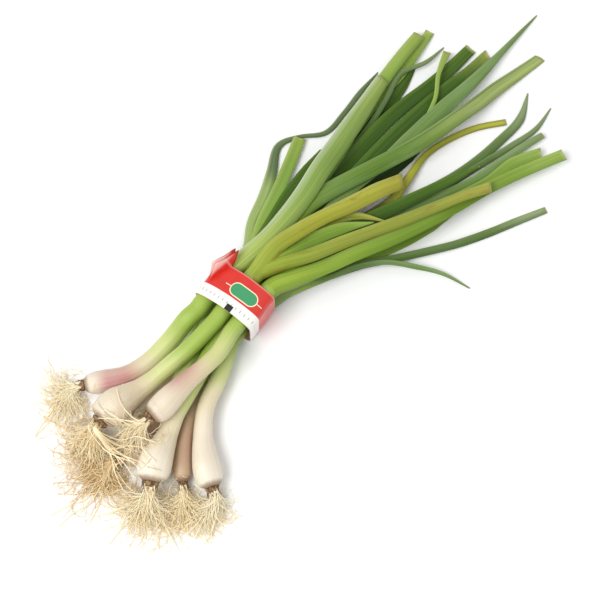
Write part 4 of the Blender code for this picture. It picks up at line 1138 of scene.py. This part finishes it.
def ribbonTab(outline, middle):  # the ribbon's pinched ends: two curled plies that part a little at the tip
    look = bandLook
    shoulder = np.array((math.cos(band["tabAngle"]), math.sin(band["tabAngle"])))
    out = np.array((math.cos(band["tabRise"]), math.sin(band["tabRise"])))
    square = np.array((-out[1], out[0]))
    root = outline[np.argmax((outline - middle) @ shoulder)] + shoulder * band["thick"] * 0.2
    t = np.linspace(0, 1, 16)[:, None]
    across = np.linspace(-1, 1, 9)
    parts = []
    for ply in (-1, 1):
        spread = ply * (0.35 + 1.1 * t ** 2) * mm
        curl = 1.2 * mm * np.sin(t * 2.6)
        centre = root + out * (t * band["tab"] * look["tabShort"]) + square * (spread + curl)
        flat = across * band["tabWidth"] / 2 * (1 - 0.08 * t)
        along = flat + band["tabPlace"] + band["tabLean"] * t
        loop = np.concatenate((across, across[::-1]))
        x = np.concatenate((along, along[:, ::-1]), axis=1)
        skin = np.concatenate((np.full(9, 0.25), np.full(9, -0.25))) * mm
        ripple = 0.5 * mm * np.sin(loop * 3.0 + t * 2) * t
        skew = (loop + 1) * band["tabWidth"] / 2
        y = centre[:, :1] + square[0] * (skin + ripple) + look["tabSkew"] * skew
        z = centre[:, 1:] + square[1] * (skin + ripple) + look["tabRise"] * skew
        faded = np.clip((t - look["fade"] - look["fadeSlant"] * loop) * 2.5, 0, 0.8)
        fields = dict(along=np.maximum(x, 0), round=0.004 + t * band["tab"], inner=faded)
        parts.append((turned(x, y, z), fields))
    return makeMesh("ribbon_tab", parts)


ribbon, outline, middle = ribbonLoop()
tab = ribbonTab(outline, middle)
ribbonSkin = ribbonMaterial()
for piece in (ribbon, tab):
    piece.data.materials.append(ribbonSkin)
    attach(piece, "root")
    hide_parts("band")
print("ribbon")


# Table, light and camera

stageLook = dict(floor=(250, 250, 250), size=6.0, key=(-0.9, 0.1, 1.5), keyPower=20.0, keySize=0.8,
                 fill=(1.2, -0.6, 1.6), fillPower=2.5, fillSize=1.6, sky=0.66, drop=0.4 * mm, sensor=36)


def makeTable():  # a square just below the bunch
    size, drop = stageLook["size"], stageLook["drop"]
    corners = [(x * size, y * size, -drop) for x, y in ((-1, -1), (1, -1), (1, 1), (-1, 1))]
    table = addPiece("table", np.array(corners), [(0, 1, 2, 3)], {})
    s = Shader("table")
    table.data.materials.append(s.finish(stageLook["floor"], 0.9))


def makeLight(name, at, power, size):  # a square lamp that faces the bunch
    lamp = bpy.data.lights.new(name, "AREA")
    lamp.energy = power
    lamp.size = size
    thing = bpy.data.objects.new(name, lamp)
    thing.location = at
    thing.rotation_euler = (-Vector(at)).to_track_quat("-Z", "Y").to_euler()
    bpy.context.scene.collection.objects.link(thing)


def makeWorld():  # even white light from all round
    world = bpy.data.worlds.new("studio")
    world.use_nodes = True
    shade = world.node_tree.nodes["Background"]
    shade.inputs["Color"].default_value = (1, 1, 1, 1)
    shade.inputs["Strength"].default_value = stageLook["sky"]
    bpy.context.scene.world = world


def makeCamera():  # looks down as the photograph does, so that a seen point lands where it was seen
    target = np.array((*seen(*photoMiddle, 0.0), 0.0))
    back = -math.cos(viewElevation) * math.sqrt(0.5)
    at = target + viewDistance * np.array((back, back, math.sin(viewElevation)))
    camera = bpy.data.cameras.new("camera")
    camera.sensor_width = stageLook["sensor"]
    camera.lens = stageLook["sensor"] / (photoSize * photoScale / viewDistance)
    thing = bpy.data.objects.new("camera", camera)
    at, target = inFrame(at), inFrame(target)
    thing.location = at
    thing.rotation_euler = Vector(target - at).to_track_quat("-Z", "Y").to_euler()
    bpy.context.scene.collection.objects.link(thing)
    bpy.context.scene.camera = thing


makeTable()
makeLight("key", stageLook["key"], stageLook["keyPower"], stageLook["keySize"])
makeLight("fill", stageLook["fill"], stageLook["fillPower"], stageLook["fillSize"])
makeWorld()
makeCamera()
bpy.context.scene.view_settings.view_transform = "Standard"
print("table, light and camera")
